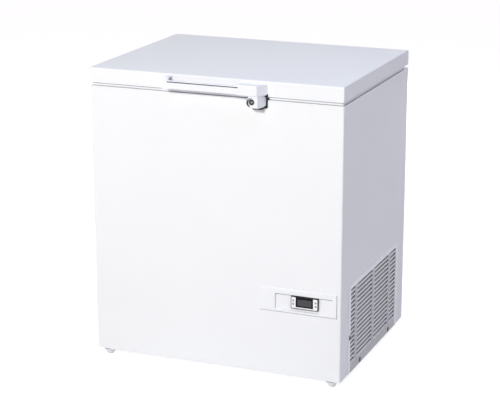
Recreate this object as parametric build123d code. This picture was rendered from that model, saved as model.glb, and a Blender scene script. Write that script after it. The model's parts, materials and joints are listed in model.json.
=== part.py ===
# A chest ultra low temperature freezer: a steel cabinet with a foamed and lined well above a
# machine compartment of the full width, closed by a foamed lid on two sprung rear hinges.
# +X is to the right, +Y to the back and +Z up; the handle and the controller face -Y.
# The origin is the middle of the whole part's plan, on the floor. Lengths are millimetres.
from build123d import *
from math import cos, radians, sin, tan
import os

os.makedirs("parts", exist_ok=True)

# Cabinet
cab_w = 730.0             # width over the side sheets
cab_d = 565.0             # depth over the front and back sheets
cab_h = 761.0             # lower edge to top edge
sheet = 0.8               # steel sheet of the wrap, back, trays and lid
bend = 5.0                # outside radius of the front corners
hem = 14.0                # folded-in edge of the wrap
compartment_h = 265.0     # cabinet's lower edge to the machine compartment's ceiling
wall_foam = 100.0         # outside of the cabinet to the inside of the well
floor_foam = 100.0        # compartment ceiling to the well's floor
tray_t = 1.2              # base tray
tray_rim = 22.0           # upturned edge of the base tray
play = 0.3                # gap between pieces that are put together by hand

# Well, breaker trim and evaporator
liner_t = 1.0
well_r = 30.0             # inside corner radius of the liner
trim_t = 2.5
lip_t = 2.0               # lip of the trim that hangs inside the liner
lip_h = 15.0
coil_turns = 5
coil_clear = 105.5        # highest turn to the well's rim
coil_w = 7.0              # flattened evaporator tube, across the wall
coil_h = 10.0
coil_low = 40.0           # well floor to the lowest turn

# Lid and gasket
seal_h = 10.0             # squeezed gasket
lid_h = 41.0
lid_side = 1.0            # lid overhang at each side
lid_front = 5.0           # lid overhang at the front
lid_edge_r = 3.0          # rounding of the lid's top edge
lid_hem = 27.0            # folded-in lower edge of the lid skin
gasket_w = 22.0
gasket_in = 3.0           # gasket's set-back from the cabinet's front and sides
gasket_in_back = 25.0
groove_top_h = 1.6        # grooves above and below the gasket's visible band
groove_top_in = 5.0
groove_low_h = 1.8
groove_low_in = 5.0
inner_t = 1.5             # lid's inner liner
plug_h = 40.0             # part of the lid that stands down into the well
plug_gap = 8.0            # plug to the trim's lip
plug_draft = 4.0          # degrees

# Handle on the lid, measured from the cabinet's centre line and the lid's lower edge
handle_reach = 30.0       # lid front to the handle's face
bar_x0 = -128.0
bar_x1 = 84.0
bar_z0 = 5.0
bar_h = 23.0
bar_t = 12.0
bar_r = 2.5
bar_groove_drop = 2.5     # top of the bar to the groove in its front
bar_groove_h = 2.0
bar_groove_deep = 4.0
post_w = 17.0
post_top = 36.0
post_wall = 3.0
post_hollow = 11.0        # how deep the post is hollowed out from its right
hood_x1 = 136.0           # right end of the hood's front face
hood_slope = 19.0         # how far its right side runs out to the lid
hood_low = 4.5            # lid's lower edge to the hood's underside
hood_top = 32.0
catch_h = 7.0             # black plate behind the hood

# Lock on the cabinet under the hood
lock_r = 14.5             # rounded left end, about the key
key_x = 119.5
key_drop = 13.0           # lid's lower edge to the key's axis
lock_x1 = 138.5           # right end of the lock's front face
lock_slope = 12.0         # how far the right side runs out to the cabinet
lock_corner = 8.0
seam = 0.5                # gap between the hood and the lock
recess_r = 12.3
recess_deep = 8.0
recess_floor = 5.0        # wall behind the recess
collar_r = 6.5            # black ring round the key barrel
neck_r = 5.5
barrel_r = 4.2
barrel_out = 1.0          # barrel's face in front of the recess floor
backplate_t = 2.5
backplate_right = 3.5     # black plate showing past the lock's right and lower edges
backplate_low = 5.0
backplate_up = 7.5        # and above the cabinet's top edge
backplate_ear = 3.0
cam_reach = 10.5
cam_w = 5.0
cam_t = 3.0
cam_gap = 1.0             # cam to the plate behind the hood
run_gap = 0.05            # radial clearance of a turning fit

# Controller and its fascia, measured from the cabinet's right side and lower edge
fascia_right = 12.5
fascia_w = 219.0
fascia_z0 = 182.5
fascia_h = 65.0
fascia_proud = 2.0
pocket_right = 12.0       # fascia's right edge to the pocket
pocket_w = 164.0
pocket_h = 45.0
pocket_up = 6.0           # fascia's lower edge to the pocket
pocket_deep = 6.0
moulding_t = 2.0
ctrl_w = 78.0             # standard panel controller, 78 x 36 bezel
ctrl_h = 36.0
ctrl_left = 46.0          # pocket's left side to the bezel
ctrl_top_gap = 1.5
case_w = 71.0
case_h = 29.0
case_d = 58.0
window_w = 50.0
window_h = 29.0
lcd_w = 40.0
lcd_h = 18.0
button_r = 2.5
button_x = 32.0
button_z = 5.0
button_travel = 0.8
button_proud = 1.0

# Grille at the right side, measured from the cabinet's front and lower edge
grille_in = 64.5
grille_w = 440.0
grille_h = 256.0
grille_r = 20.0
grille_deep = 5.0
louvre_columns = ((15.0, 40.0), (70.0, 136.0), (223.0, 132.0), (368.0, 55.0))
louvre_rows = 17
louvre_pitch = 12.7
louvre_low = 26.0
louvre_rise = 4.2
louvre_t = 1.3
grille_bolts = (101.5, 361.5)
grille_bolt_z = 9.0

# Feet
foot_in_x = 30.0
foot_in_y = 20.0
foot_top_r = 18.5
foot_low_r = 9.5
foot_h = 20.0

# Hinges
hinge_x = 230.0           # centre line of the cabinet to each hinge
hinge_out = 14.0          # back sheet to the hinge axis
hinge_pin_r = 4.0
knuckle_r = 8.0
knuckle_w = 39.0
ear_t = 4.0
ear_gap = 0.5
hinge_plate = 3.0
hinge_plate_w = 72.0
hinge_plate_h = 112.0
spring_box_h = 86.0

# Cooling machinery
cond_w = 300.0            # finned condenser
cond_h = 200.0
cond_t = 44.0
cond_gap = 22.0           # cabinet side to the condenser
cond_lift = 18.0
fin_count = 30
fin_t = 1.2
fin_core = 14.0
cond_tubes = 6
tube_r = 4.0
shroud_d = 20.0
shroud_t = 1.5
fan_r = 86.0
fan_gap = 5.0
fan_blades = 5
blade_w = 52.0
blade_t = 2.0
blade_pitch = 32.0        # degrees
hub_r = 26.0
hub_l = 22.0
shaft_r = 3.0
motor_r = 36.0
motor_l = 44.0
strap_w = 20.0            # strap round the motor
comp_l = 236.0
comp_w = 168.0
comp_h = 180.0
comp_x = -30.0
comp_r = 40.0
comp_plate = 3.0
stub_pitch = 30.0         # compressor tube stubs, centre to centre
grommet_h = 16.0
grommet_r = 12.0
bolt_r = 3.5
drier_r = 13.0
drier_l = 100.0
drier_x = 170.0           # right end of the drier
drier_in = 60.0           # back sheet to the drier's axis
drier_up = 34.0           # tray to the drier's axis
drier_run = 50.0          # level run of the tube that enters the drier
line_r = 3.5
gland_r = 8.0
gland_bore_r = 4.5
gland_out = 14.0
screw_r = 2.1
screw_head_r = 4.2
screw_head_h = 2.4
hinge_screw_l = 26.0
leaf_screw_l = 16.0
back_screw_l = 2.2
back_screw_in = 30.0      # lower and upper edge to the end screws of the back panel
terminal_box_in = (40.0, 60.0)        # from the cabinet's left side and front
terminal_box = (110.0, 60.0, 120.0)

# Levels and planes worked out from the sizes above
base_z = foot_h
top_z = base_z + cab_h
lid_z = top_z + seal_h
lid_top = lid_z + lid_h
ceiling_z = base_z + compartment_h
floor_z = ceiling_z + floor_foam
side_x = cab_w / 2
front_reach = lid_front + handle_reach
rear_reach = hinge_out + knuckle_r
front_y = front_reach - (front_reach + cab_d + rear_reach) / 2
back_y = front_y + cab_d
mid_y = (front_y + back_y) / 2
lid_front_y = front_y - lid_front
face_y = lid_front_y - handle_reach
lid_x = side_x + lid_side
tray_top = base_z + sheet + tray_t
well_x = side_x - wall_foam
well_y0 = front_y + wall_foam
well_y1 = back_y - wall_foam
liner_top = top_z - trim_t
coil_pitch = (liner_top - coil_clear - floor_z - coil_low - coil_h) / (coil_turns - 1)
axis_y = back_y + hinge_out
axis_z = top_z + seal_h / 2
key_z = lid_z - key_drop
lock_top = lid_z + hood_low - seam
plate_top = top_z + backplate_up
barrel_y = face_y + recess_deep - barrel_out
cam_y = lid_front_y - backplate_t - cam_gap - cam_t
cond_x1 = side_x - cond_gap
cond_x0 = cond_x1 - cond_t
cond_z0 = tray_top + cond_lift
cond_z1 = cond_z0 + cond_h
fan_z = cond_z0 + cond_h / 2


def box(x0, x1, y0, y1, z0, z1):
    """A block between two opposite corners."""
    centre = ((x0 + x1) / 2, (y0 + y1) / 2, (z0 + z1) / 2)
    return Pos(*centre) * Box(x1 - x0, y1 - y0, z1 - z0)


def round_box(x0, x1, y0, y1, z0, z1, radius):
    """A block with rounded upright corners."""
    return fillet(box(x0, x1, y0, y1, z0, z1).edges().filter_by(Axis.Z), radius)


def soft_top(x0, x1, y0, y1, z0, z1, radius):
    """A block with rounded upright corners and top edges."""
    block = box(x0, x1, y0, y1, z0, z1)
    return fillet(block.edges().filter_by(Axis.Z) + block.faces().sort_by(Axis.Z)[-1].edges(),
                  radius)


def rod(start, direction, length, radius):
    """A round bar from a point along a direction."""
    return extrude(Plane(start, z_dir=direction) * Circle(radius), length)


def pipe(points, bend_radius, radius):
    """A tube's outside along straight runs joined by arcs."""
    path = FilletPolyline(*points, radius=bend_radius)
    start = Plane(points[0], z_dir=Vector(*points[1]) - Vector(*points[0]))
    return sweep(start * Circle(radius), path=path)


def together(shapes):
    """Fuses or gathers a list of shapes into one."""
    whole = shapes[0]
    for shape in shapes[1:]:
        whole = whole + shape
    return whole


def screw(seat, outward, length, head_h=screw_head_h):
    """A pan head screw whose head rests at seat."""
    head = rod(seat, outward, head_h, screw_head_r)
    inward = [-part for part in outward]
    return head + rod(seat, inward, length, screw_r)


def screw_holes(seats, outward, length, radius=screw_r + 0.1):
    """The holes that a set of screws passes through."""
    inward = [-part for part in outward]
    starts = [[at + out for at, out in zip(seat, outward)] for seat in seats]
    return together([rod(start, inward, length + 2, radius) for start in starts])


def save(node, shape):
    export_step(shape, f"parts/{node}.step")


# Places that several pieces share
fascia_x1 = side_x - fascia_right
fascia_x0 = fascia_x1 - fascia_w
fascia_low = base_z + fascia_z0
pocket_x1 = fascia_x1 - pocket_right
pocket_x0 = pocket_x1 - pocket_w
pocket_z0 = fascia_low + pocket_up
pocket_z1 = pocket_z0 + pocket_h
pocket_y = front_y - fascia_proud + pocket_deep
ctrl_x = pocket_x0 + ctrl_left + ctrl_w / 2
ctrl_z = pocket_z1 - ctrl_top_gap - ctrl_h / 2
ctrl_face = front_y - fascia_proud
grille_y0 = front_y + grille_in
grille_y1 = grille_y0 + grille_w
grille_top = base_z + grille_h
grille_face = side_x + lid_side
field_y0 = grille_y0 + louvre_columns[0][0]
field_y1 = grille_y0 + louvre_columns[-1][0] + louvre_columns[-1][1]
field_z0 = base_z + louvre_low
field_z1 = field_z0 + louvre_pitch * louvre_rows
trim_x = side_x - hem - play
trim_y0 = front_y + hem + play
trim_y1 = back_y - hem - play
lip_x = well_x - play - lip_t
lip_y0 = well_y0 + play + lip_t
lip_y1 = well_y1 - play - lip_t
plug_x = lip_x - plug_gap
plug_y0 = lip_y0 + plug_gap
plug_y1 = lip_y1 - plug_gap
riser_x = (comp_x - stub_pitch, comp_x - stub_pitch + 24.0)
riser_y = well_y1 + liner_t + coil_w / 2 + play
gland_at = (-side_x + 62.0, back_y, base_z + 62.0)
hinge_seats = [
    (side * hinge_x + dx, back_y + hinge_plate, axis_z - drop)
    for side in (-1, 1) for dx in (-29.0, 29.0) for drop in (38.0, 118.0)
]
leaf_seats = [(side * hinge_x + dx, back_y + hinge_plate, lid_z + 24.0)
              for side in (-1, 1) for dx in (-11.0, 11.0)]
back_step = (cab_h - 2 * back_screw_in) / 3
back_seats = [(x, back_y, base_z + back_screw_in + step * back_step)
              for x in (-side_x + hem / 2, side_x - hem / 2) for step in range(4)]
bolt_seats = [(side_x, grille_y0 + along, base_z + grille_bolt_z) for along in grille_bolts]
foot_spots = [(x, y) for x in (-side_x + foot_in_x, side_x - foot_in_x)
              for y in (front_y + foot_in_y, back_y - foot_in_y)]


def cabinet_wrap():
    """Front and both sides folded from one sheet, with all its edges folded in."""
    def u_block(inset, y1, z0, z1):
        block = box(-side_x + inset, side_x - inset, front_y + inset, y1, z0, z1)
        corners = block.edges().filter_by(Axis.Z).sort_by(Axis.Y)[:2]
        return fillet(corners, bend - inset)
    wrap = u_block(0, back_y - sheet, base_z, top_z)
    wrap -= u_block(sheet, back_y, base_z + sheet, top_z - sheet)
    wrap -= box(-side_x + hem, side_x - hem, front_y + hem, back_y, base_z - 1, top_z + 1)
    for side in (-1, 1):
        edge, fold = side * (side_x - sheet / 2), side * (side_x - hem)
        wrap += box(min(edge, fold), max(edge, fold), back_y - 2 * sheet, back_y - sheet,
                    base_z, top_z)
    pad = moulding_t + play
    wrap -= box(pocket_x0 - pad, pocket_x1 + pad, front_y - 1, front_y + 2,
                pocket_z0 - pad, pocket_z1 + pad)
    wrap -= box(side_x - 2, side_x + 1, field_y0 - pad, field_y1 + pad,
                field_z0 - pad, field_z1 + pad)
    wrap -= screw_holes(bolt_seats, (1, 0, 0), 8)
    wrap -= screw_holes(back_seats, (0, 1, 0), 4)
    for x, y in foot_spots:
        wrap -= rod((x, y, base_z - 1), (0, 0, 1), 4, bolt_r + play)
    return wrap


def back_panel():
    """Back sheet with a folded top edge and a field of air slots at the compartment."""
    panel = box(-side_x, side_x, back_y - sheet, back_y, base_z, top_z)
    inner = side_x - hem - 1
    panel += box(-inner, inner, back_y - hem, back_y - sheet / 2, top_z - sheet, top_z)
    slot_w, slot_h, slot_pitch = 190.0, 6.0, 16.0
    for column in (-1, 1):
        for row in range(10):
            low = base_z + 70.0 + row * slot_pitch
            middle = column * 120.0
            panel -= box(middle - slot_w / 2, middle + slot_w / 2, back_y - 2, back_y + 1,
                         low, low + slot_h)
    panel -= rod((gland_at[0], back_y - 2, gland_at[2]), (0, 1, 0), 4, gland_r + 0.2)
    panel -= screw_holes(hinge_seats, (0, 1, 0), 30)
    panel -= screw_holes(back_seats, (0, 1, 0), 4)
    return panel


def rear_corners(z0, z1, deep):
    """Room for the wrap's folded rear edges."""
    return together([box(side * side_x - hem - 1, side * side_x + hem + 1, back_y - deep,
                         back_y + 1, z0, z1) for side in (-1, 1)])


def base_tray():
    """Floor of the machine compartment, with an upturned rim."""
    inset = 2 * sheet + play
    outer = box(-side_x + bend, side_x - bend, front_y + bend, back_y - inset,
                base_z + sheet, tray_top + tray_rim)
    inner = box(-side_x + bend + tray_t, side_x - bend - tray_t, front_y + bend + tray_t,
                back_y - inset - tray_t, tray_top, tray_top + tray_rim + 1)
    tray = outer - inner
    for x, y in foot_spots:
        tray -= rod((x, y, base_z), (0, 0, 1), 4, bolt_r + play)
    for row in range(7):
        x = -210.0 + row * 22.0
        tray -= box(x, x + 8, front_y + 70, front_y + 150, base_z, tray_top + 1)
    for x, y in compressor_bolts():
        tray -= rod((x, y, base_z), (0, 0, 1), 4, bolt_r + play)
    for at, along, z in bolt_seats:
        tray -= rod((side_x - 12, along, z), (1, 0, 0), 20, screw_r + 0.1)
    return tray


def compartment_ceiling():
    """Sheet between the machine compartment and the foam, with turned-down front and back."""
    top = ceiling_z + sheet
    plate = round_box(-side_x + sheet, side_x - sheet, front_y + sheet, back_y - sheet,
                      ceiling_z, top, bend)
    for y in (front_y + sheet, back_y - 2 * sheet):
        plate += box(-side_x + 2 * hem, side_x - 2 * hem, y, y + sheet, ceiling_z - 12, top)
    for x in riser_x:
        plate -= rod((x, riser_y, ceiling_z - 1), (0, 0, 1), 4, line_r + 2.5)
    return plate - rear_corners(ceiling_z - 1, top + 1, 3 * sheet)


def liner_tub():
    """Deep-drawn well of stainless sheet with a turned-out top edge."""
    def shell(grow, z0, z1, corner):
        block = box(-well_x - grow, well_x + grow, well_y0 - grow, well_y1 + grow, z0, z1)
        block = fillet(block.edges().filter_by(Axis.Z), corner)
        return fillet(block.faces().sort_by(Axis.Z)[0].edges(), 10.0 + grow)
    tub = shell(liner_t, floor_z - liner_t, liner_top, well_r + liner_t)
    return tub - shell(0, floor_z, liner_top + 20, well_r)


def coil_pocket():
    """Room round the liner that the evaporator takes up in the foam."""
    low = floor_z + coil_low - play
    high = floor_z + coil_low + coil_pitch * (coil_turns - 1) + coil_h + play
    grow = liner_t + coil_w + 3 * play
    room = box(-well_x - grow, well_x + grow, well_y0 - grow, well_y1 + grow, low, high)
    for x in riser_x:
        room += box(x - coil_h / 2 - 1, x + coil_h / 2 + 1, riser_y - 6, riser_y + 6,
                    ceiling_z, low + 1)
    return room


def cabinet_foam():
    """Foamed insulation between the sheets and the liner."""
    block = round_box(-side_x + sheet, side_x - sheet, front_y + sheet, back_y - sheet,
                      ceiling_z + sheet, top_z - sheet - trim_t, bend)
    grow = liner_t
    hole = round_box(-well_x - grow, well_x + grow, well_y0 - grow, well_y1 + grow,
                     floor_z - liner_t, top_z, well_r - 2)
    foam = block - hole - coil_pocket()
    foam -= screw_holes(hinge_seats, (0, 1, 0), 30)
    return foam - rear_corners(ceiling_z, top_z, 5 * sheet)


def rim_trim():
    """Plastic breaker frame that bridges from the steel edge to the liner."""
    low = top_z - sheet - trim_t
    frame = box(-trim_x, trim_x, trim_y0, trim_y1, top_z - trim_t, top_z)
    frame += box(-trim_x - 6, trim_x + 6, trim_y0 - 6, trim_y1 + 6, low, top_z - sheet - 0.1)
    frame += round_box(-lip_x - lip_t, lip_x + lip_t, lip_y0 - lip_t, lip_y1 + lip_t,
                       top_z - lip_h, top_z, well_r - play)
    frame -= round_box(-lip_x, lip_x, lip_y0, lip_y1, top_z - lip_h - 1, top_z + 1,
                       well_r - play - lip_t)
    seat = box(-well_x - 3 * liner_t, well_x + 3 * liner_t, well_y0 - 3 * liner_t,
               well_y1 + 3 * liner_t, low - 1, liner_top)
    seat -= round_box(-well_x + play, well_x - play, well_y0 + play, well_y1 - play,
                      low - 2, liner_top + 1, well_r - play)
    return frame - seat


def evaporator():
    """Flattened tube wound round the liner, with two legs down to the compartment."""
    near = liner_t + play
    far = near + coil_w
    turns = []
    for turn in range(coil_turns):
        low = floor_z + coil_low + turn * coil_pitch
        ring = round_box(-well_x - far, well_x + far, well_y0 - far, well_y1 + far,
                         low, low + coil_h, well_r + far)
        ring -= round_box(-well_x - near, well_x + near, well_y0 - near, well_y1 + near,
                          low - 1, low + coil_h + 1, well_r + near)
        turns.append(ring)
        if turn:
            x = riser_x[turn % 2]
            turns.append(box(x - coil_h / 2, x + coil_h / 2, well_y1 + near, well_y1 + far,
                             low - coil_pitch + coil_h / 2, low + coil_h / 2))
    for x in riser_x:
        turns.append(box(x - coil_h / 2, x + coil_h / 2, riser_y - coil_w / 2 + 0.1,
                         riser_y + coil_w / 2, ceiling_z + 6, floor_z + coil_low + 1))
    return together(turns)


def control_fascia():
    """White moulding on the front: a raised plate with a pocket that holds the controller."""
    plate = box(fascia_x0, fascia_x1, front_y - fascia_proud, front_y,
                fascia_low, fascia_low + fascia_h)
    rim = plate.faces().sort_by(Axis.Y)[0].edges()
    plate = fillet(rim, 1.2)
    floor_y = pocket_y + moulding_t
    plate += box(pocket_x0 - moulding_t, pocket_x1 + moulding_t, front_y - 0.5, floor_y,
                 pocket_z0 - moulding_t, pocket_z1 + moulding_t)
    plate -= box(pocket_x0, pocket_x1, front_y - 5, pocket_y, pocket_z0, pocket_z1)
    plate -= box(ctrl_x - case_w / 2 - play, ctrl_x + case_w / 2 + play, front_y, floor_y + 1,
                 ctrl_z - case_h / 2 - play, ctrl_z + case_h / 2 + play)
    return plate


def button_spots():
    """Centres of the controller's four buttons."""
    return [(ctrl_x + dx, ctrl_z + dz) for dx in (-button_x, button_x)
            for dz in (-button_z, button_z)]


def controller_bezel():
    """Front frame of the panel controller, with the window's and the buttons' openings."""
    bezel = box(ctrl_x - ctrl_w / 2, ctrl_x + ctrl_w / 2, ctrl_face, pocket_y,
                ctrl_z - ctrl_h / 2, ctrl_z + ctrl_h / 2)
    bezel = fillet(bezel.edges().filter_by(Axis.Y), 2.5)
    bezel = fillet(bezel.faces().sort_by(Axis.Y)[0].edges(), 0.8)
    bezel -= box(ctrl_x - window_w / 2, ctrl_x + window_w / 2, ctrl_face - 1, pocket_y + 1,
                 ctrl_z - window_h / 2, ctrl_z + window_h / 2)
    for x, z in button_spots():
        bezel -= rod((x, ctrl_face - 1, z), (0, 1, 0), 20, button_r + 0.25)
    return bezel


def controller_case():
    """Body of the controller behind the fascia, with wells for the buttons."""
    case = box(ctrl_x - case_w / 2, ctrl_x + case_w / 2, pocket_y, pocket_y + case_d,
               ctrl_z - case_h / 2, ctrl_z + case_h / 2)
    for x, z in button_spots():
        case -= rod((x, pocket_y - 1, z), (0, 1, 0), 1 + 4.5, button_r + 0.6)
    return case


def display_window():
    """Black window of the controller with a shallow seat for the display glass."""
    window = box(ctrl_x - window_w / 2 + 0.1, ctrl_x + window_w / 2 - 0.1, ctrl_face + 0.4,
                 pocket_y, ctrl_z - window_h / 2 + 0.1, ctrl_z + window_h / 2 - 0.1)
    return window - box(ctrl_x - lcd_w / 2, ctrl_x + lcd_w / 2, ctrl_face, ctrl_face + 1.2,
                        ctrl_z - lcd_h / 2, ctrl_z + lcd_h / 2)


def display_glass():
    """Grey display glass in the window's seat."""
    return box(ctrl_x - lcd_w / 2 + 0.1, ctrl_x + lcd_w / 2 - 0.1, ctrl_face + 0.6,
               ctrl_face + 1.2, ctrl_z - lcd_h / 2 + 0.1, ctrl_z + lcd_h / 2 - 0.1)


def button(x, z):
    """Round push button with a collar that keeps it behind the bezel."""
    face = ctrl_face - button_proud
    stem = rod((x, face, z), (0, 1, 0), pocket_y + 0.2 - face, button_r)
    stem = fillet(stem.faces().sort_by(Axis.Y)[0].edges(), 0.5)
    return stem + rod((x, pocket_y + 0.2, z), (0, 1, 0), 3.0, button_r + 0.4)


def controller_clips():
    """Two side clips that press the controller against the fascia."""
    clips = []
    back = pocket_y + moulding_t
    for side in (-1, 1):
        inner = ctrl_x + side * (case_w / 2 + 0.1)
        outer = inner + side * 5.0
        clips.append(box(min(inner, outer), max(inner, outer), back, back + 24.0,
                         ctrl_z - 8, ctrl_z + 8))
    return together(clips)


def side_grille():
    """Moulded louvre panel: a flange on the side sheet, and sloping blades behind its face."""
    flange = box(side_x, grille_face, grille_y0, grille_y1, base_z, grille_top)
    top_corners = flange.edges().filter_by(Axis.X).sort_by(Axis.Z)[-2:]
    flange = fillet(top_corners, grille_r)
    inner_x = grille_face - grille_deep
    panel = flange + box(inner_x, side_x + lid_side / 2, field_y0 - moulding_t,
                         field_y1 + moulding_t, field_z0 - moulding_t, field_z1 + moulding_t)
    for start, width in louvre_columns:
        panel -= box(inner_x - 1, grille_face + 1, grille_y0 + start, grille_y0 + start + width,
                     field_z0, field_z1)
    face_x, rear_x = grille_face - 0.2, inner_x + 0.2
    side_view = Plane((0, field_y1 + 1, 0), x_dir=(1, 0, 0), z_dir=(0, -1, 0))
    blades = []
    for row in range(louvre_rows):
        low = field_z0 + 0.5 + row * louvre_pitch
        section = Polyline((face_x, low), (face_x, low + louvre_t),
                           (rear_x, low + louvre_rise + louvre_t), (rear_x, low + louvre_rise),
                           close=True)
        blades.append(extrude(side_view * make_face(section), field_y1 - field_y0 + 2))
    return panel + blades - screw_holes(bolt_seats, (1, 0, 0), 8, screw_head_r + play)


def foot(x, y):
    """Turned nylon glide with a stud up through the tray."""
    profile = Polyline((0, 0), (foot_low_r - 1, 0), (foot_low_r, 1.5), (foot_top_r, foot_h - 4),
                       (foot_top_r, foot_h), (bolt_r, foot_h),
                       (bolt_r, foot_h + tray_t + sheet + 8), (0, foot_h + tray_t + sheet + 8),
                       close=True)
    glide = revolve(Plane.XZ * make_face(profile), Axis.Z)
    return Pos(x, y, 0) * glide


def foot_nuts():
    """Nuts on the feet's studs, inside the tray."""
    nuts = []
    for x, y in foot_spots:
        hexagon = RegularPolygon(7.0, 6) - Circle(bolt_r + 0.05)
        nuts.append(Pos(x, y, tray_top) * extrude(hexagon, 5.5))
    return together(nuts)


def lid_skin():
    """Steel pan of the lid with a folded-in lower edge."""
    y0, y1 = lid_front_y, back_y
    pan = soft_top(-lid_x, lid_x, y0, y1, lid_z, lid_top, lid_edge_r)
    pan -= soft_top(-lid_x + sheet, lid_x - sheet, y0 + sheet, y1 - sheet, lid_z + sheet,
                    lid_top - sheet, lid_edge_r - sheet)
    back_hem = gasket_in_back + gasket_w + gasket_in
    pan -= box(-lid_x + lid_hem, lid_x - lid_hem, y0 + lid_hem + lid_front, y1 - back_hem,
               lid_z - 1, lid_z + 2)
    return pan - screw_holes(leaf_seats, (0, 1, 0), 20)


def plug_body(inset, low, high):
    """Tapered block under the lid, inset all round, between two levels."""
    def section(z):
        shrink = inset + (lid_z + sheet - z) * tan(radians(plug_draft))
        plan = RectangleRounded(2 * (plug_x - shrink), plug_y1 - plug_y0 - 2 * shrink,
                                well_r - shrink)
        return Pos(0, (plug_y0 + plug_y1) / 2, z) * plan
    return loft([section(high), section(low)])


def lid_liner():
    """Vacuum-formed inner sheet of the lid with its raised plug."""
    edge = sheet + 0.1
    plate_top = lid_z + sheet + inner_t
    plate = round_box(-lid_x + edge, lid_x - edge, lid_front_y + edge, back_y - edge,
                      lid_z + sheet, plate_top, lid_edge_r)
    plug = plug_body(0, lid_z - plug_h, plate_top)
    return plate + plug - plug_body(inner_t, lid_z - plug_h + inner_t, plate_top + 1)


def lid_foam():
    """Foamed core of the lid and its plug."""
    edge = sheet + 0.1
    low = lid_z + sheet + inner_t
    slab = soft_top(-lid_x + edge, lid_x - edge, lid_front_y + edge, back_y - edge, low,
                    lid_top - edge, lid_edge_r)
    foam = slab + plug_body(inner_t + 0.2, lid_z - plug_h + inner_t, low + 1)
    return foam - screw_holes(leaf_seats, (0, 1, 0), 20)


def gasket_ring(inset, width, z0, z1):
    """One level of the gasket, a frame under the lid's edge."""
    x = side_x - gasket_in - inset
    y0 = front_y + gasket_in + inset
    y1 = back_y - gasket_in_back - inset
    ring = round_box(-x, x, y0, y1, z0, z1, 6.0)
    return ring - box(-x + width, x - width, y0 + width, y1 - width, z0 - 1, z1 + 1)


def lid_gasket():
    """Magnetic bellows gasket under the lid's edge, with a groove above and below its band."""
    low = top_z + 0.25
    band_0, band_1 = low + groove_low_h, lid_z - groove_top_h
    body = gasket_ring(0, gasket_w, band_0, band_1)
    body += gasket_ring(groove_top_in, gasket_w - 2 * groove_top_in, band_1, lid_z)
    return body + gasket_ring(groove_low_in, gasket_w - 2 * groove_low_in, low, band_0)


def lid_handle():
    """Bar handle moulded in one with the hood over the lock."""
    face, rear = face_y, lid_front_y
    bar_low, bar_top = lid_z + bar_z0, lid_z + bar_z0 + bar_h
    bar = box(bar_x0, bar_x1, face, face + bar_t, bar_low, bar_top)
    bar = fillet(bar.edges().filter_by(Axis.X), bar_r)
    post_x1 = bar_x0 - 7 + post_w
    post = box(bar_x0 - 7, post_x1, face, rear, bar_low, lid_z + post_top)
    slope = Plane((0, face, bar_top), x_dir=(1, 0, 0), z_dir=(0, -1, 1))
    post -= extrude(slope * Rectangle(1000, 1000), 60)
    post = fillet(post.edges().filter_by(Axis.Y), 3.0)
    post -= box(post_x1 - post_hollow, post_x1 + 1, face + bar_t + 0.5, rear - post_wall,
                bar_low + post_wall, lid_z + post_top - post_wall)
    groove_top = bar_top - bar_groove_drop
    groove = box(bar_x0 + 8, bar_x1 - 1, face - 1, face + bar_groove_deep,
                 groove_top - bar_groove_h, groove_top)
    catch = box(key_x + 8, hood_x1 + hood_slope + 2, rear - backplate_t, rear + 1,
                lid_z - 1, lid_z + catch_h + play)
    return bar + post + hood_block() - groove - catch - hook_plate(0.1)


def hood_block():
    """Right end of the handle, which covers the catch."""
    x0 = bar_x1 - 6
    outline = Polyline((x0, face_y), (hood_x1, face_y), (hood_x1 + hood_slope, lid_front_y),
                       (x0, lid_front_y), close=True)
    block = Pos(0, 0, lid_z + hood_low) * extrude(make_face(outline), hood_top - hood_low)
    front = block.faces().sort_by(Axis.Y)[0]
    return fillet(front.edges().sort_by(Axis.Z)[-1:] + front.edges().sort_by(Axis.X)[-1:], 3.0)


def hook_plate(grow=0.0):
    """Steel catch that hangs from the hood into the lock."""
    y0 = cam_y - grow
    y1 = y0 + cam_t + 2 * grow
    tip = key_x + cam_reach
    shank = box(tip + 0.6 - grow, tip + 6 + grow, y0, y1, key_z - 10, lid_z + 18 + grow)
    barb = box(key_x + 5.5, tip + 1.0, y0, y1, key_z - 10, key_z - cam_w / 2 - 0.8)
    return shank + barb


def lock_outline(y_at, shrink=0.0):
    """Outline of the lock, seen from the front."""
    radius = lock_r - shrink
    x1 = lock_x1 + lock_slope - shrink
    z0, z1 = key_z - radius, lock_top - shrink
    corner = lock_corner - shrink / 2
    shoulder = (key_x - radius * cos(radians(60)), key_z + radius * sin(radians(60)))
    lines = Polyline((key_x, z0), (x1, z0), (x1, z1), (shoulder[0], z1), shoulder)
    arc = ThreePointArc(shoulder, (key_x - radius, key_z), (key_x, z0))
    plane = Plane((0, y_at, 0), x_dir=(1, 0, 0), z_dir=(0, -1, 0))
    return plane * fillet(make_face(lines + arc).vertices().sort_by(Axis.X)[-2:]
                          .sort_by(Axis.Y)[:1], corner)


def slope_cut(y0, y1, x0, x1, shift=0.0):
    """Everything to the right of the sloping side of the hood and the lock."""
    outline = Polyline((x0 - shift, y0 - 1), (x0 - shift, y0), (x1 - shift, y1),
                       (x1 - shift, y1 + 1), (x1 + cab_w, y1 + 1), (x1 + cab_w, y0 - 1), close=True)
    return Pos(0, 0, key_z - 60) * extrude(make_face(outline), 120)


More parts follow.
